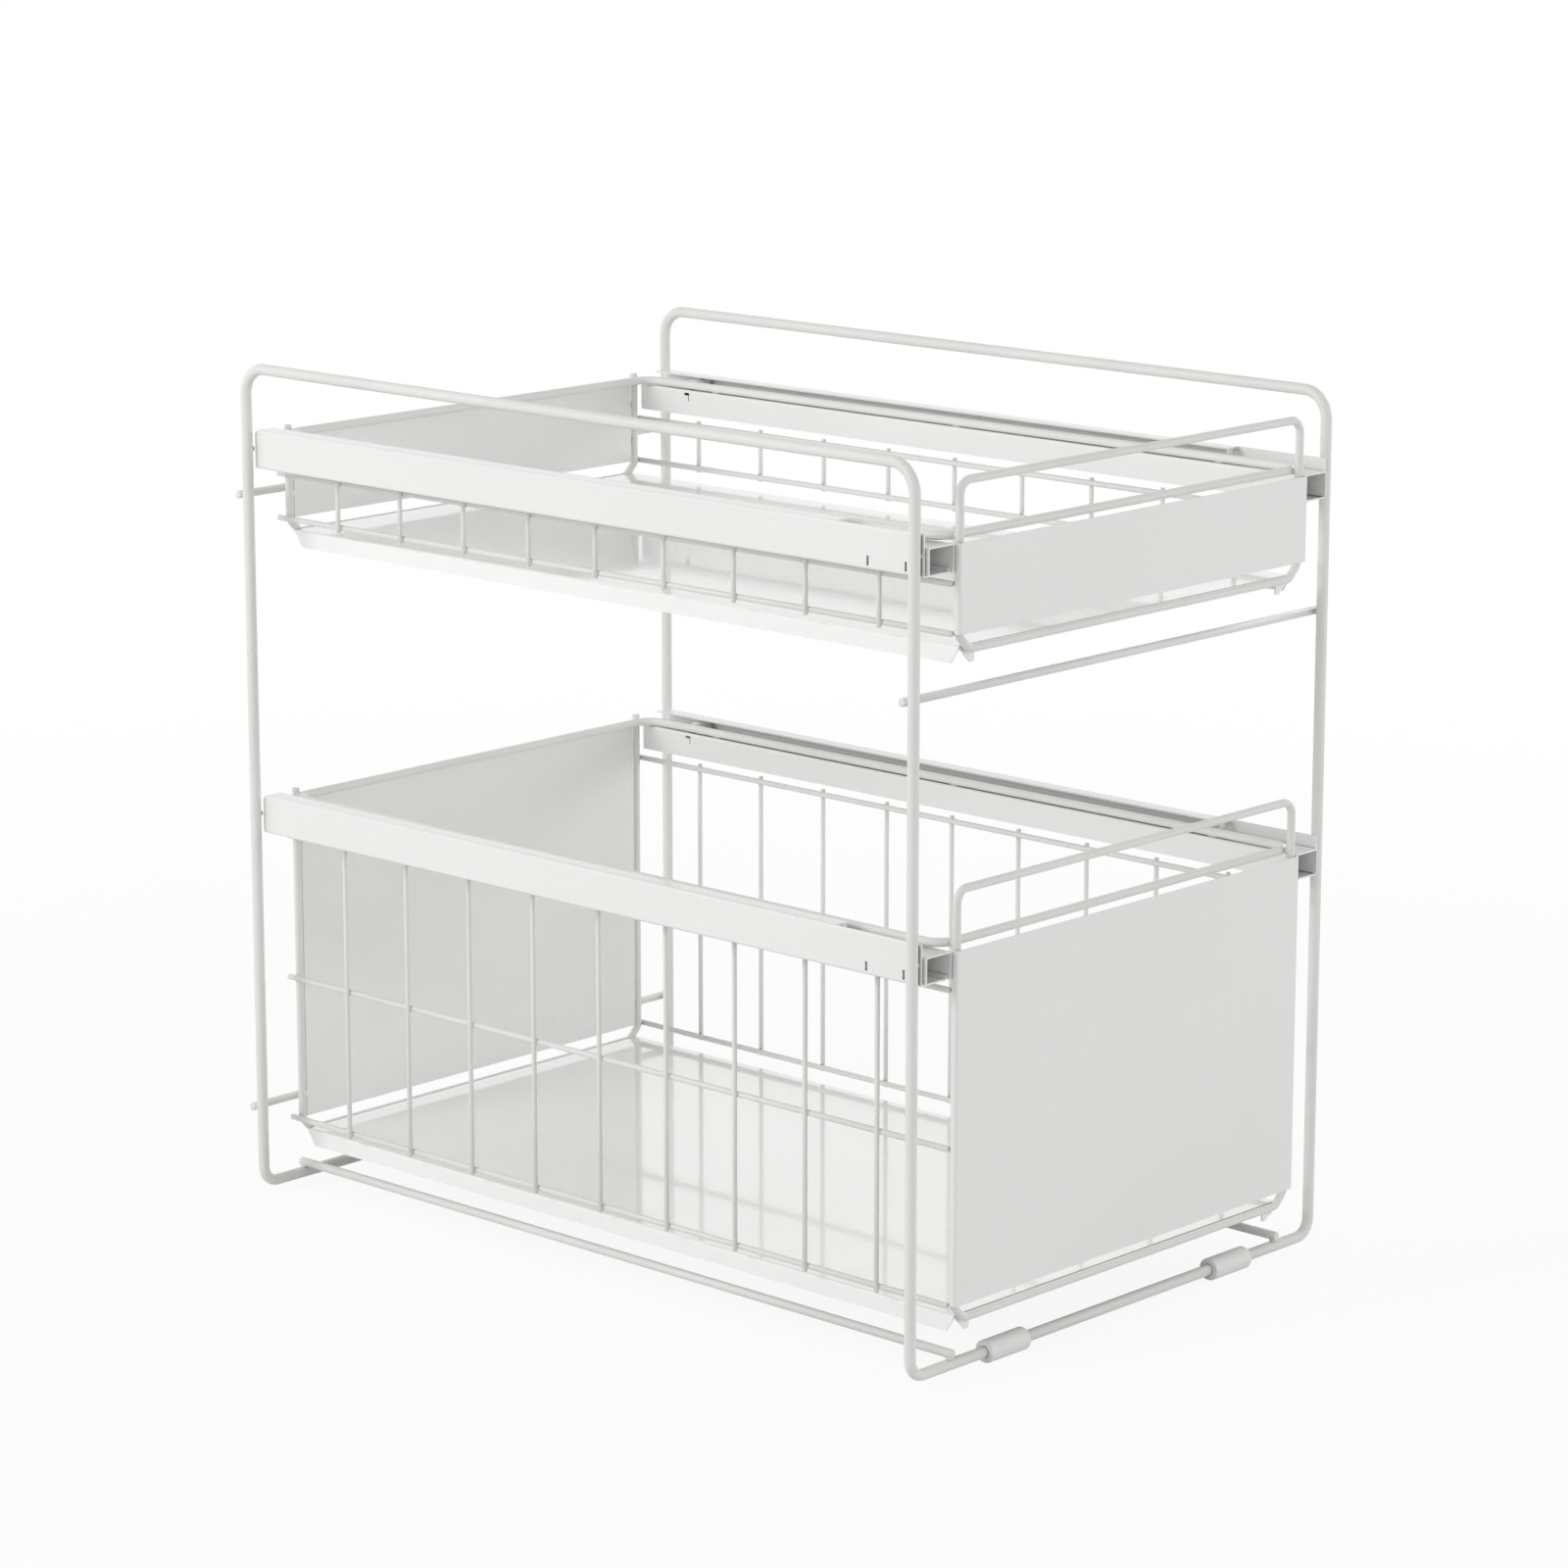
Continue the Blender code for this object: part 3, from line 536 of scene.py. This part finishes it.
def finish_sheet(piece, tools):
    """Punches and joins the tools, eases the raw edges and evens out the shading of the flats."""
    helpers = []
    for operation, mesh in tools:
        helper = bpy.data.objects.new("tool", mesh)
        bpy.context.scene.collection.objects.link(helper)
        helpers.append(helper)
        cut = piece.modifiers.new("cut", "BOOLEAN")
        cut.operation = operation
        cut.solver = "EXACT"
        cut.object = helper
    ease = piece.modifiers.new("ease", "BEVEL")
    ease.width = EASED
    ease.segments = EASED_SEGMENTS
    ease.limit_method = "ANGLE"
    ease.angle_limit = EASED_ANGLE
    graph = bpy.context.evaluated_depsgraph_get()
    shaped = bpy.data.meshes.new_from_object(piece.evaluated_get(graph))
    piece.modifiers.clear()
    piece.data = shaped
    for helper in helpers:
        bpy.data.objects.remove(helper, do_unlink=True)
    piece.data.shade_smooth()
    even = piece.modifiers.new("even", "WEIGHTED_NORMAL")
    even.weight = FLAT_WEIGHT


def fold_sheet(name, corners, run, place, tools=()):
    """Folds a strip of sheet through the corners; place(u, v, w) sets it in the rack."""
    line = [point[:2] for point in bent(
        [(u, v, 0) for u, v in corners], [0] + [FOLD] * (len(corners) - 2) + [0])]
    mesh = bpy.data.meshes.new(name)
    body = bmesh.new()
    start, end = run
    verts = [body.verts.new(place(u, v, start)) for u, v in line]
    edges = [body.edges.new(pair) for pair in zip(verts, verts[1:])]
    grown = bmesh.ops.extrude_edge_only(body, edges=edges)
    moved = [item for item in grown["geom"] if isinstance(item, bmesh.types.BMVert)]
    length = Vector(place(0, 0, end)) - Vector(place(0, 0, start))
    bmesh.ops.translate(body, verts=moved, vec=length)
    body.to_mesh(mesh)
    body.free()
    piece = bpy.data.objects.new(name, mesh)
    bpy.context.scene.collection.objects.link(piece)
    shell = piece.modifiers.new("sheet", "SOLIDIFY")
    shell.thickness = SHEET
    shell.offset = 0.0
    shell.use_even_offset = True
    finish_sheet(piece, tools)
    return piece


def along_x(u, v, w):
    return (w, u, v)


def along_y(u, v, w):
    return (u, w, v)


def along_z(u, v, w):
    return (u, v, w)


def lip_rub(coat):
    """A soft polish on the shelf's inner edge, where the runner slides."""
    return 1 - coat.axis("X").magnitude().step(RAIL_LIP_X + SHEET, RAIL_LIP_X + RUB_WIDTH)


RAIL_FINISH = sheet_coat("rail_powder_coat", lip_rub, **RUBBED_GLOSS).material

for tier, rail_z in RAIL_Z.items():
    for side_name, side in SIDES:
        lip_x = RAIL_LIP_X + SHEET / 2
        web_x = RAIL_WEB_X - SHEET / 2
        shelf_z = rail_z + SHEET / 2
        top_z = rail_z + RAIL_HEIGHT - SHEET / 2
        section = [
            (lip_x, rail_z + RAIL_LIP), (lip_x, shelf_z), (web_x, shelf_z), (web_x, top_z),
            (RAIL_FLANGE_X, top_z)]
        stop_y = RAIL_FLANGE_Y + GAP
        tools = [
            ("DIFFERENCE", side_box(
                side, RAIL_FLANGE_X - CUT, RAIL_WEB_X - SHEET,
                (RAIL_FRONT_Y - CUT, RAIL_FLANGE_Y), (top_z - CUT, top_z + CUT))),
            ("UNION", side_box(
                side, RAIL_FLANGE_X + GAP, RAIL_FLANGE_X + GAP + RAIL_STOP_WIDTH,
                (stop_y, stop_y + SHEET), (top_z - RAIL_STOP_DROP, top_z)))]
        for slot_place in RAIL_SLOT_PLACES:
            slot_y = RAIL_FRONT_Y + slot_place
            slot_z = rail_z + RAIL_SLOT_RISE
            tools.append(("DIFFERENCE", side_box(
                side, RAIL_WEB_X - SHEET - GAP, RAIL_WEB_X + CUT,
                (slot_y - RAIL_SLOT_WIDTH / 2, slot_y + RAIL_SLOT_WIDTH / 2),
                (slot_z, slot_z + RAIL_SLOT_HEIGHT))))
        crest = rail_z + RAIL_HEIGHT
        turn = [point[:2] for point in bent(
            [(RAIL_REAR_Y - 2 * RAIL_CORNER, crest, 0), (RAIL_REAR_Y, crest, 0),
             (RAIL_REAR_Y, crest - 2 * RAIL_CORNER, 0)], [0, RAIL_CORNER, 0])][1:-1]
        outline = turn + [
            (RAIL_REAR_Y + CUT, turn[-1][1]), (RAIL_REAR_Y + CUT, crest + CUT),
            (turn[0][0], crest + CUT)]
        reach = (side * (RAIL_FLANGE_X - CUT), side * (RAIL_WEB_X + CUT))
        tools.append(("DIFFERENCE", prism_tool(outline, reach, along_x)))
        rail = fold_sheet(
            f"{tier}_{side_name}_channel", [(side * x, z) for x, z in section],
            (RAIL_FRONT_Y, RAIL_REAR_Y), along_y, tools)
        dress(rail, RAIL_FINISH, "frame", [f"{tier}_{side_name}_rail"])


def rail_welds(body):
    """One spot weld at mid-height between each end of a rail's web and its upright."""
    for rail_z in RAIL_Z.values():
        for _, side in SIDES:
            for _, end in ENDS:
                place = (side * RAIL_WEB_X, end * HALF_DEPTH, rail_z + RAIL_HEIGHT / 2)
                add_weld(body, place, RAIL_WELD)


make_piece("rail_welds", rail_welds, ROD_FINISH, "frame")


# Runners: folded channels, upside down over the lips of the rails and standing on their shelves.
# The front is left open, and a tab lanced up near the rear end meets the rail's tooth at full
# travel. The lancing leaves a small window in the inner wall.
LIP_PLAY = 0.0004
WEB_PLAY = 0.0005
RUNNER_HEIGHT = 0.0113
RUNNER_INNER_X = RAIL_LIP_X - LIP_PLAY - SHEET
RUNNER_OUTER_X = RAIL_WEB_X - SHEET - WEB_PLAY
RUNNER_SEAT = SHEET + GAP
RUNNER_TOP = RUNNER_SEAT + RUNNER_HEIGHT
POST_Y = {"front": -0.20465, "rear": 0.19985}
RUNNER_FRONT_REACH = 0.0004
RUNNER_REAR_GAP = 0.0018
RUNNER_Y = (POST_Y["front"] - RUNNER_FRONT_REACH, POST_Y["rear"] - RUNNER_REAR_GAP)
TAB_INSET = 0.0304
TAB_WIDTH = 0.0107
TAB_LENGTH = 0.004
TAB_RISE = 0.0041
TAB_Y = RUNNER_Y[1] - TAB_INSET
WINDOW_LENGTH = 0.0028
WINDOW_HEIGHT = 0.0012
WINDOW_DROP = 0.0026
SLIT_WIDTH = 0.00035
SLIT_DROP = 0.0028


def skirt_rub(coat):
    """Polish along the runner's outer edge, where it brushes the rail."""
    return coat.axis("X").magnitude().step(RUNNER_OUTER_X - RUB_WIDTH, RUNNER_OUTER_X)


RUNNER_FINISH = sheet_coat("runner_powder_coat", skirt_rub, **RUBBED_GLOSS).material

for tier, rail_z in RAIL_Z.items():
    for side_name, side in SIDES:
        inner_x = RUNNER_INNER_X + SHEET / 2
        outer_x = RUNNER_OUTER_X - SHEET / 2
        top_z = rail_z + RUNNER_TOP - SHEET / 2
        section = [
            (inner_x, rail_z + GAP), (inner_x, top_z),
            (outer_x, top_z), (outer_x, rail_z + RUNNER_SEAT)]
        tab_x = RUNNER_OUTER_X - FOLD
        window_y = TAB_Y - WINDOW_LENGTH / 2
        window_z = rail_z + RUNNER_TOP - WINDOW_DROP
        tools = [
            ("UNION", side_box(
                side, tab_x - TAB_WIDTH, tab_x,
                (TAB_Y - TAB_LENGTH / 2, TAB_Y + TAB_LENGTH / 2),
                (top_z, rail_z + RUNNER_TOP + TAB_RISE))),
            ("DIFFERENCE", side_box(
                side, RUNNER_INNER_X - CUT, RUNNER_INNER_X + SHEET + GAP,
                (window_y, window_y + WINDOW_LENGTH), (window_z, window_z + WINDOW_HEIGHT))),
            ("DIFFERENCE", side_box(
                side, RUNNER_INNER_X - CUT, RUNNER_INNER_X + SHEET + GAP,
                (window_y - SLIT_WIDTH, window_y + GAP / 2),
                (window_z - SLIT_DROP, window_z + WINDOW_HEIGHT)))]
        runner = fold_sheet(
            f"{tier}_{side_name}_slide", [(side * x, z) for x, z in section], RUNNER_Y, along_y,
            tools)
        dress(
            runner, RUNNER_FINISH, f"{tier}_basket",
            [f"{tier}_{side_name}_runner"])


# Rim and hoops of each basket: a closed wire round the top, a closed loop at the front whose top
# run is the pull handle, and an open loop at the rear. They are welded to each other and to the
# runners, and carry the panels, grids and tray.
HOOP = 0.0036
RIM = 0.0038
RIM_SET_OUT = 0.002
RIM_X = RUNNER_INNER_X + RIM_SET_OUT
RIM_RISE = RUNNER_TOP + GAP + RIM / 2
RIM_BEND = 0.009
RIM_INSET = HOOP / 2 + GAP + RIM / 2
POST_SET_IN = 0.0034
POST_X = RUNNER_INNER_X - POST_SET_IN
POST_TIP = 0.0012
HANDLE_RISE = 0.0226
HANDLE_BEND = 0.006
CHAMFER = 0.006
CHAMFER_BEND = 0.005
LOWER_RUN_RISE = 0.0203
UPPER_RUN_DROP = 0.0468
RUN_Z = {
    "lower": ROD_Z + LOWER_RUN_RISE,
    "upper": RAIL_Z["upper"] + RIM_RISE - UPPER_RUN_DROP}
HOOP_WELD = (0.00152, 0.0009, 0.00152)
RIM_WELD = (0.0009, 0.00304, 0.00054)
RIM_WELD_SHARES = (0.12, 0.5, 0.88)


def hoop_foot(y, run_z):
    """The lower corners of a hoop, from its left post to its right post."""
    low_x = POST_X - CHAMFER
    return [
        (-POST_X, y, run_z + CHAMFER), (-low_x, y, run_z),
        (low_x, y, run_z), (POST_X, y, run_z + CHAMFER)]


for tier, rail_z in RAIL_Z.items():
    rim_z = rail_z + RIM_RISE
    run_z = RUN_Z[tier]
    basket = f"{tier}_basket"
    front_y, rear_y = POST_Y["front"] + RIM_INSET, POST_Y["rear"] - RIM_INSET
    rim_path = bent(
        [(-RIM_X, front_y, rim_z), (RIM_X, front_y, rim_z),
         (RIM_X, rear_y, rim_z), (-RIM_X, rear_y, rim_z)],
        [RIM_BEND] * 4)
    make_piece(
        f"{tier}_rim", lambda body: add_wire(body, rim_path, RIM, closed=True),
        ROD_FINISH, basket, [f"{tier}_rim_wire"])

    y = POST_Y["front"]
    handle_z = rim_z + HANDLE_RISE
    handle_path = bent(
        [(-POST_X, y, handle_z), *hoop_foot(y, run_z), (POST_X, y, handle_z)],
        [HANDLE_BEND] + [CHAMFER_BEND] * 4 + [HANDLE_BEND])
    make_piece(
        f"{tier}_handle_hoop", lambda body: add_wire(body, handle_path, HOOP, closed=True),
        ROD_FINISH, basket, [f"{tier}_front_hoop"])

    y = POST_Y["rear"]
    post_z = rim_z + RIM / 2 + POST_TIP
    rear_path = bent(
        [(-POST_X, y, post_z), *hoop_foot(y, run_z), (POST_X, y, post_z)],
        [0] + [CHAMFER_BEND] * 4 + [0])
    make_piece(
        f"{tier}_back_hoop",
        lambda body: add_wire(body, rear_path, HOOP, tip_share=BAR_TIP_SHARE),
        ROD_FINISH, basket, [f"{tier}_rear_hoop"])

    def rim_welds(body):
        for _, side in SIDES:
            for end_name, end in ENDS:
                weld_y = POST_Y[end_name] - end * (HOOP / 2 + GAP / 2)
                add_weld(body, (side * POST_X, weld_y, rim_z), HOOP_WELD)
            for share in RIM_WELD_SHARES:
                weld_y = RUNNER_Y[0] + (RUNNER_Y[1] - RUNNER_Y[0]) * share
                add_weld(body, (side * RIM_X, weld_y, rim_z - RIM / 2), RIM_WELD)

    make_piece(f"{tier}_rim_welds", rim_welds, ROD_FINISH, basket)


# Front and rear panels: 0.8 mm sheet. The front one is turned back round the posts of the handle
# hoop. The rear one fills the space between the rear posts, and narrow tabs hold it to them.
FRONT_FACE_Y = POST_Y["front"] - HOOP / 2 - GAP - SHEET
PANEL_X = POST_X + HOOP / 2 + GAP + SHEET
PANEL_RETURN = 0.0032
PANEL_FOOT = 0.007
FRONT_PANEL_DROP = 0.0023
REAR_PANEL_DROP = 0.0011
REAR_SLIT = 0.0009
REAR_TAB = 0.003
REAR_TAB_INSET = 0.011
PANEL_GLOSS = {"Coat_Weight": 0.5, "Coat_Roughness": 0.15}
PANEL_FINISH = sheet_coat("sheet_powder_coat", **PANEL_GLOSS).material

for tier, rail_z in RAIL_Z.items():
    rim_z = rail_z + RIM_RISE
    foot_z = RUN_Z[tier] + PANEL_FOOT
    basket = f"{tier}_basket"
    face_y = FRONT_FACE_Y + SHEET / 2
    side_x = PANEL_X - SHEET / 2
    back_y = FRONT_FACE_Y + PANEL_RETURN
    front_panel = fold_sheet(
        f"{tier}_front_sheet",
        [(-side_x, back_y), (-side_x, face_y), (side_x, face_y), (side_x, back_y)],
        (foot_z, rim_z - FRONT_PANEL_DROP), along_z)
    dress(front_panel, PANEL_FINISH, basket, [f"{tier}_front_panel"])

    half = POST_X - HOOP / 2 - REAR_SLIT
    tab_half = POST_X - HOOP / 2 - GAP
    high_z = rim_z - REAR_PANEL_DROP
    tools = [
        ("UNION", box_tool(
            (-tab_half, POST_Y["rear"] - SHEET / 2, z - REAR_TAB / 2),
            (tab_half, POST_Y["rear"] + SHEET / 2, z + REAR_TAB / 2)))
        for z in (foot_z + REAR_TAB_INSET, high_z - REAR_TAB_INSET)]
    rear_panel = fold_sheet(
        f"{tier}_rear_sheet", [(-half, POST_Y["rear"]), (half, POST_Y["rear"])],
        (foot_z, high_z), along_z, tools)
    dress(rear_panel, PANEL_FINISH, basket, [f"{tier}_rear_panel"])


# Side grids: long wires pass outside the posts and nine standing wires are welded across them.
# The wires sink into each other a little where they cross, as resistance welding leaves them.
LONG_WIRE = 0.0026
LONG_X = POST_X + HOOP / 2 + GAP + LONG_WIRE / 2
LONG_REAR_REACH = 0.0036
LONG_Y = (FRONT_FACE_Y + PANEL_RETURN + GAP, POST_Y["rear"] + LONG_REAR_REACH)
LONG_SIDES = 20
STANDING_WIRE = 0.0022
STANDING_SINK = 0.0005
STANDING_X = LONG_X + LONG_WIRE / 2 + STANDING_WIRE / 2 - STANDING_SINK
STANDING_SIDES = 18
STANDING_TIP = 0.0022
STANDING_PITCH = 0.0409
STANDING_COUNT = 9
GRID_DROP = 0.0191
GRID_FOOT = 0.0072
GRID_ROWS = {"lower": 3, "upper": 2}
GRID_TIP_SHARE = 0.25
POST_WELD = (0.00063, 0.00133, 0.00114)
CROSS_WELD = (0.0008, 0.0012, 0.0012)
CROSS_WELD_SINK = 0.0002

for tier, rail_z in RAIL_Z.items():
    low_z = RUN_Z[tier] + GRID_FOOT
    high_z = rail_z + RIM_RISE - GRID_DROP
    row_count = GRID_ROWS[tier]
    rows = [low_z + (high_z - low_z) * row / (row_count - 1) for row in range(row_count)]
    mid_y = (POST_Y["front"] + POST_Y["rear"]) / 2
    stands = [
        mid_y + STANDING_PITCH * (step - (STANDING_COUNT - 1) / 2)
        for step in range(STANDING_COUNT)]
    for side_name, side in SIDES:
        def grid(body):
            for z in rows:
                x = side * LONG_X
                add_wire(
                    body, [(x, LONG_Y[0], z), (x, LONG_Y[1], z)], LONG_WIRE,
                    sides=LONG_SIDES, tip_share=GRID_TIP_SHARE)
                for y in POST_Y.values():
                    add_weld(body, (side * (POST_X + HOOP / 2), y, z), POST_WELD)
            for y in stands:
                x = side * STANDING_X
                add_wire(
                    body, [(x, y, low_z - STANDING_TIP), (x, y, high_z + STANDING_TIP)],
                    STANDING_WIRE, sides=STANDING_SIDES, tip_share=GRID_TIP_SHARE)
                for z in rows:
                    place = (side * (LONG_X + LONG_WIRE / 2 - CROSS_WELD_SINK), y, z)
                    add_weld(body, place, CROSS_WELD)

        make_piece(
            f"{tier}_{side_name}_wire_grid", grid, ROD_FINISH, f"{tier}_basket",
            [f"{tier}_{side_name}_grid"])


# Trays: the floor of each basket is one sheet set between the bottom runs of the hoops, almost
# level with their tops. A flange is folded down each side, cut slantwise at both ends, and a
# small slanted tab is turned down behind the runs at each corner.
TRAY_SET_IN = 0.0016
TRAY_X = POST_X - TRAY_SET_IN
TRAY_RISE = 0.0015
TRAY_FLANGE = 0.0078
TRAY_CUT_HEIGHT = 0.006
TRAY_Y = (POST_Y["front"] + HOOP / 2 + GAP, POST_Y["rear"] - HOOP / 2 - GAP)
TRAY_CUTS = (0.0037, 0.0045)
TRAY_TAB_INSET = 0.0103
TRAY_TAB_X = TRAY_X - TRAY_TAB_INSET
TRAY_TAB_TIP = 0.0026
TRAY_ROUGHNESS = 0.10
TRAY_GLOSS = (0.5, 0.9)
# Painted light: the tray tones are paler than the same coat on other sheet, standing for the bright
# light and sheen on the tray floors.
TRAY_PAINTED_LIGHT_TONES = ((0.93, 0.93, 0.92, 1.0), (0.91, 0.91, 0.895, 1.0))


def tray_coat():
    """Tray floors are wiped glossy from above; their flanges and undersides stay satin."""
    coat = sheet_coat(
        "tray_powder_coat", roughness=TRAY_ROUGHNESS, tones=TRAY_PAINTED_LIGHT_TONES,
        Coat_IOR=4.0, Coat_Roughness=0.05)
    normal = coat.node("ShaderNodeNewGeometry", output="True Normal")
    upward = coat.node("ShaderNodeSeparateXYZ", (), {0: normal}, "Z")
    return coat.feed(Coat_Weight=upward.step(*TRAY_GLOSS))


TRAY_FINISH = tray_coat().material

for tier in RAIL_Z:
    top_z = RUN_Z[tier] + TRAY_RISE
    middle_z = top_z - SHEET / 2
    low_z = top_z - TRAY_FLANGE
    flange_x = TRAY_X - SHEET / 2
    tab_top_x = TRAY_TAB_X + TRAY_TAB_TIP + middle_z - low_z
    tools = []
    for (_, end), end_y, cut in zip(ENDS, TRAY_Y, TRAY_CUTS):
        lead = end * CUT * cut / TRAY_CUT_HEIGHT
        outline = [
            (end_y - end * cut - lead, low_z - CUT), (end_y + end * CUT + lead, low_z - CUT),
            (end_y + end * CUT + lead, low_z + TRAY_CUT_HEIGHT + CUT),
            (end_y + lead, low_z + TRAY_CUT_HEIGHT + CUT)]
        for _, side in SIDES:
            reach = (side * (TRAY_X - SHEET - GAP), side * (TRAY_X + CUT))
            tools.append(("DIFFERENCE", prism_tool(outline, reach, along_x)))
            tab_outline = [
                (side * TRAY_TAB_X, low_z), (side * (TRAY_TAB_X + TRAY_TAB_TIP), low_z),
                (side * tab_top_x, middle_z), (side * TRAY_TAB_X, middle_z)]
            tools.append(("UNION", prism_tool(tab_outline, (end_y, end_y - end * SHEET), along_y)))
    tray = fold_sheet(
        f"{tier}_floor_sheet",
        [(-flange_x, low_z), (-flange_x, middle_z), (flange_x, middle_z), (flange_x, low_z)],
        TRAY_Y, along_y, tools)
    dress(tray, TRAY_FINISH, f"{tier}_basket", [f"{tier}_tray"])


# Studio: a plain white floor and a white surround that is brightest near the horizon, with broad
# soft lights from the left, the right and low in front. Camera and gloss see the surroundings as
# plain white, and the floor keeps a light shadow of the rack.
FLOOR_REACH = 30.0
FLOOR_GREY = (0.75, 0.75, 0.75, 1.0)
FLOOR_SEEN = (0.9, 0.9, 0.9, 1.0)
FLOOR_GLOW = 0.9
FLOOR_FADE = (0.4, 1.4)
WHITE = (1.0, 1.0, 1.0, 1.0)
HORIZON_LEVEL = 0.97
ZENITH_LEVEL = 0.52
SKY_FADE = (0.15, 0.7)
LIGHTS = {
    "left": {"place": (-2.3, 0.9, 1.3), "size": 1.2, "power": 24.0},
    "front": {"place": (1.7, -2.5, 0.55), "size": 1.2, "power": 13.0},
    "right": {"place": (2.6, 0.4, 0.6), "size": 1.2, "power": 16.0}}
AIM = Vector((0.0043, 0.0, 0.2032))
CAMERA_AZIMUTH = math.radians(-46.99)
CAMERA_ELEVATION = math.radians(12.72)
CAMERA_DISTANCE = 2.311
SENSOR = 36.0
LENS = 117.7


def seen_ray(nodes):
    """1 for camera, glossy and transmission rays, 0 for the rays that light the rack."""
    seen = nodes.node("ShaderNodeLightPath", output="Is Camera Ray")
    for other in ("Is Glossy Ray", "Is Transmission Ray"):
        seen = seen.math("MAXIMUM", seen, nodes.node("ShaderNodeLightPath", output=other))
    return seen


def seen_and_lighting(nodes, lighting, seen, outlet):
    """Ends a tree in one shader for the rays that light the rack and another for what is seen."""
    mixed = nodes.node("ShaderNodeMixShader", (), {0: seen_ray(nodes), 1: lighting, 2: seen})
    nodes.tree.links.new(mixed.socket, nodes.tree.nodes[outlet].inputs["Surface"])


floor_mesh = bpy.data.meshes.new("studio_floor")
floor_mesh.from_pydata(
    [(-FLOOR_REACH, -FLOOR_REACH, 0), (FLOOR_REACH, -FLOOR_REACH, 0),
     (FLOOR_REACH, FLOOR_REACH, 0), (-FLOOR_REACH, FLOOR_REACH, 0)], [], [(0, 1, 2, 3)])
floor = bpy.data.objects.new("studio_floor", floor_mesh)
bpy.context.scene.collection.objects.link(floor)
floor_paint = bpy.data.materials.new("studio_floor")
floor_paint.use_nodes = True
floor_paint.node_tree.nodes.remove(floor_paint.node_tree.nodes["Principled BSDF"])
paint = Nodes(floor_paint.node_tree)
spot = paint.node("ShaderNodeTexCoord", output="Object")
reach = paint.node("ShaderNodeVectorMath", {"operation": "LENGTH"}, {0: spot}, "Value")
seen_paint = paint.node("ShaderNodeMixShader", (), {
    0: FLOOR_GLOW + reach.step(*FLOOR_FADE) * (1 - FLOOR_GLOW),
    1: paint.node("ShaderNodeBsdfDiffuse", (), {"Color": FLOOR_SEEN}),
    2: paint.node("ShaderNodeEmission", (), {"Color": WHITE, "Strength": 1.0})})
lit_paint = paint.node("ShaderNodeBsdfDiffuse", (), {"Color": FLOOR_GREY})
seen_and_lighting(paint, lit_paint, seen_paint, "Material Output")
floor_mesh.materials.append(floor_paint)

world = bpy.data.worlds.new("studio")
bpy.context.scene.world = world
world.use_nodes = True
world.node_tree.nodes.remove(world.node_tree.nodes["Background"])
sky = Nodes(world.node_tree)
direction = sky.node("ShaderNodeTexCoord", output="Generated")
upward = sky.node("ShaderNodeSeparateXYZ", (), {0: direction}, "Z")
surround = sky.node("ShaderNodeMixShader", (), {
    0: upward.step(*SKY_FADE),
    1: sky.node("ShaderNodeBackground", (), {"Color": WHITE, "Strength": HORIZON_LEVEL}),
    2: sky.node("ShaderNodeBackground", (), {"Color": WHITE, "Strength": ZENITH_LEVEL})})
seen_sky = sky.node("ShaderNodeBackground", (), {"Color": WHITE, "Strength": 1.0})
seen_and_lighting(sky, surround, seen_sky, "World Output")

for name, light in LIGHTS.items():
    data = bpy.data.lights.new(f"{name}_softbox", "AREA")
    data.shape = "DISK"
    data.size = light["size"]
    data.energy = light["power"]
    lamp = bpy.data.objects.new(f"{name}_softbox", data)
    bpy.context.scene.collection.objects.link(lamp)
    lamp.location = light["place"]
    lamp.rotation_euler = (AIM - Vector(light["place"])).to_track_quat("-Z", "Y").to_euler()

camera_data = bpy.data.cameras.new("photo_camera")
camera_data.sensor_width = SENSOR
camera_data.lens = LENS
camera = bpy.data.objects.new("photo_camera", camera_data)
bpy.context.scene.collection.objects.link(camera)
back = Vector((
    math.sin(CAMERA_AZIMUTH) * math.cos(CAMERA_ELEVATION),
    -math.cos(CAMERA_AZIMUTH) * math.cos(CAMERA_ELEVATION), math.sin(CAMERA_ELEVATION)))
camera.location = AIM + back * CAMERA_DISTANCE
camera.rotation_euler = (-back).to_track_quat("-Z", "Y").to_euler()
bpy.context.scene.camera = camera
bpy.context.scene.view_settings.view_transform = "Standard"
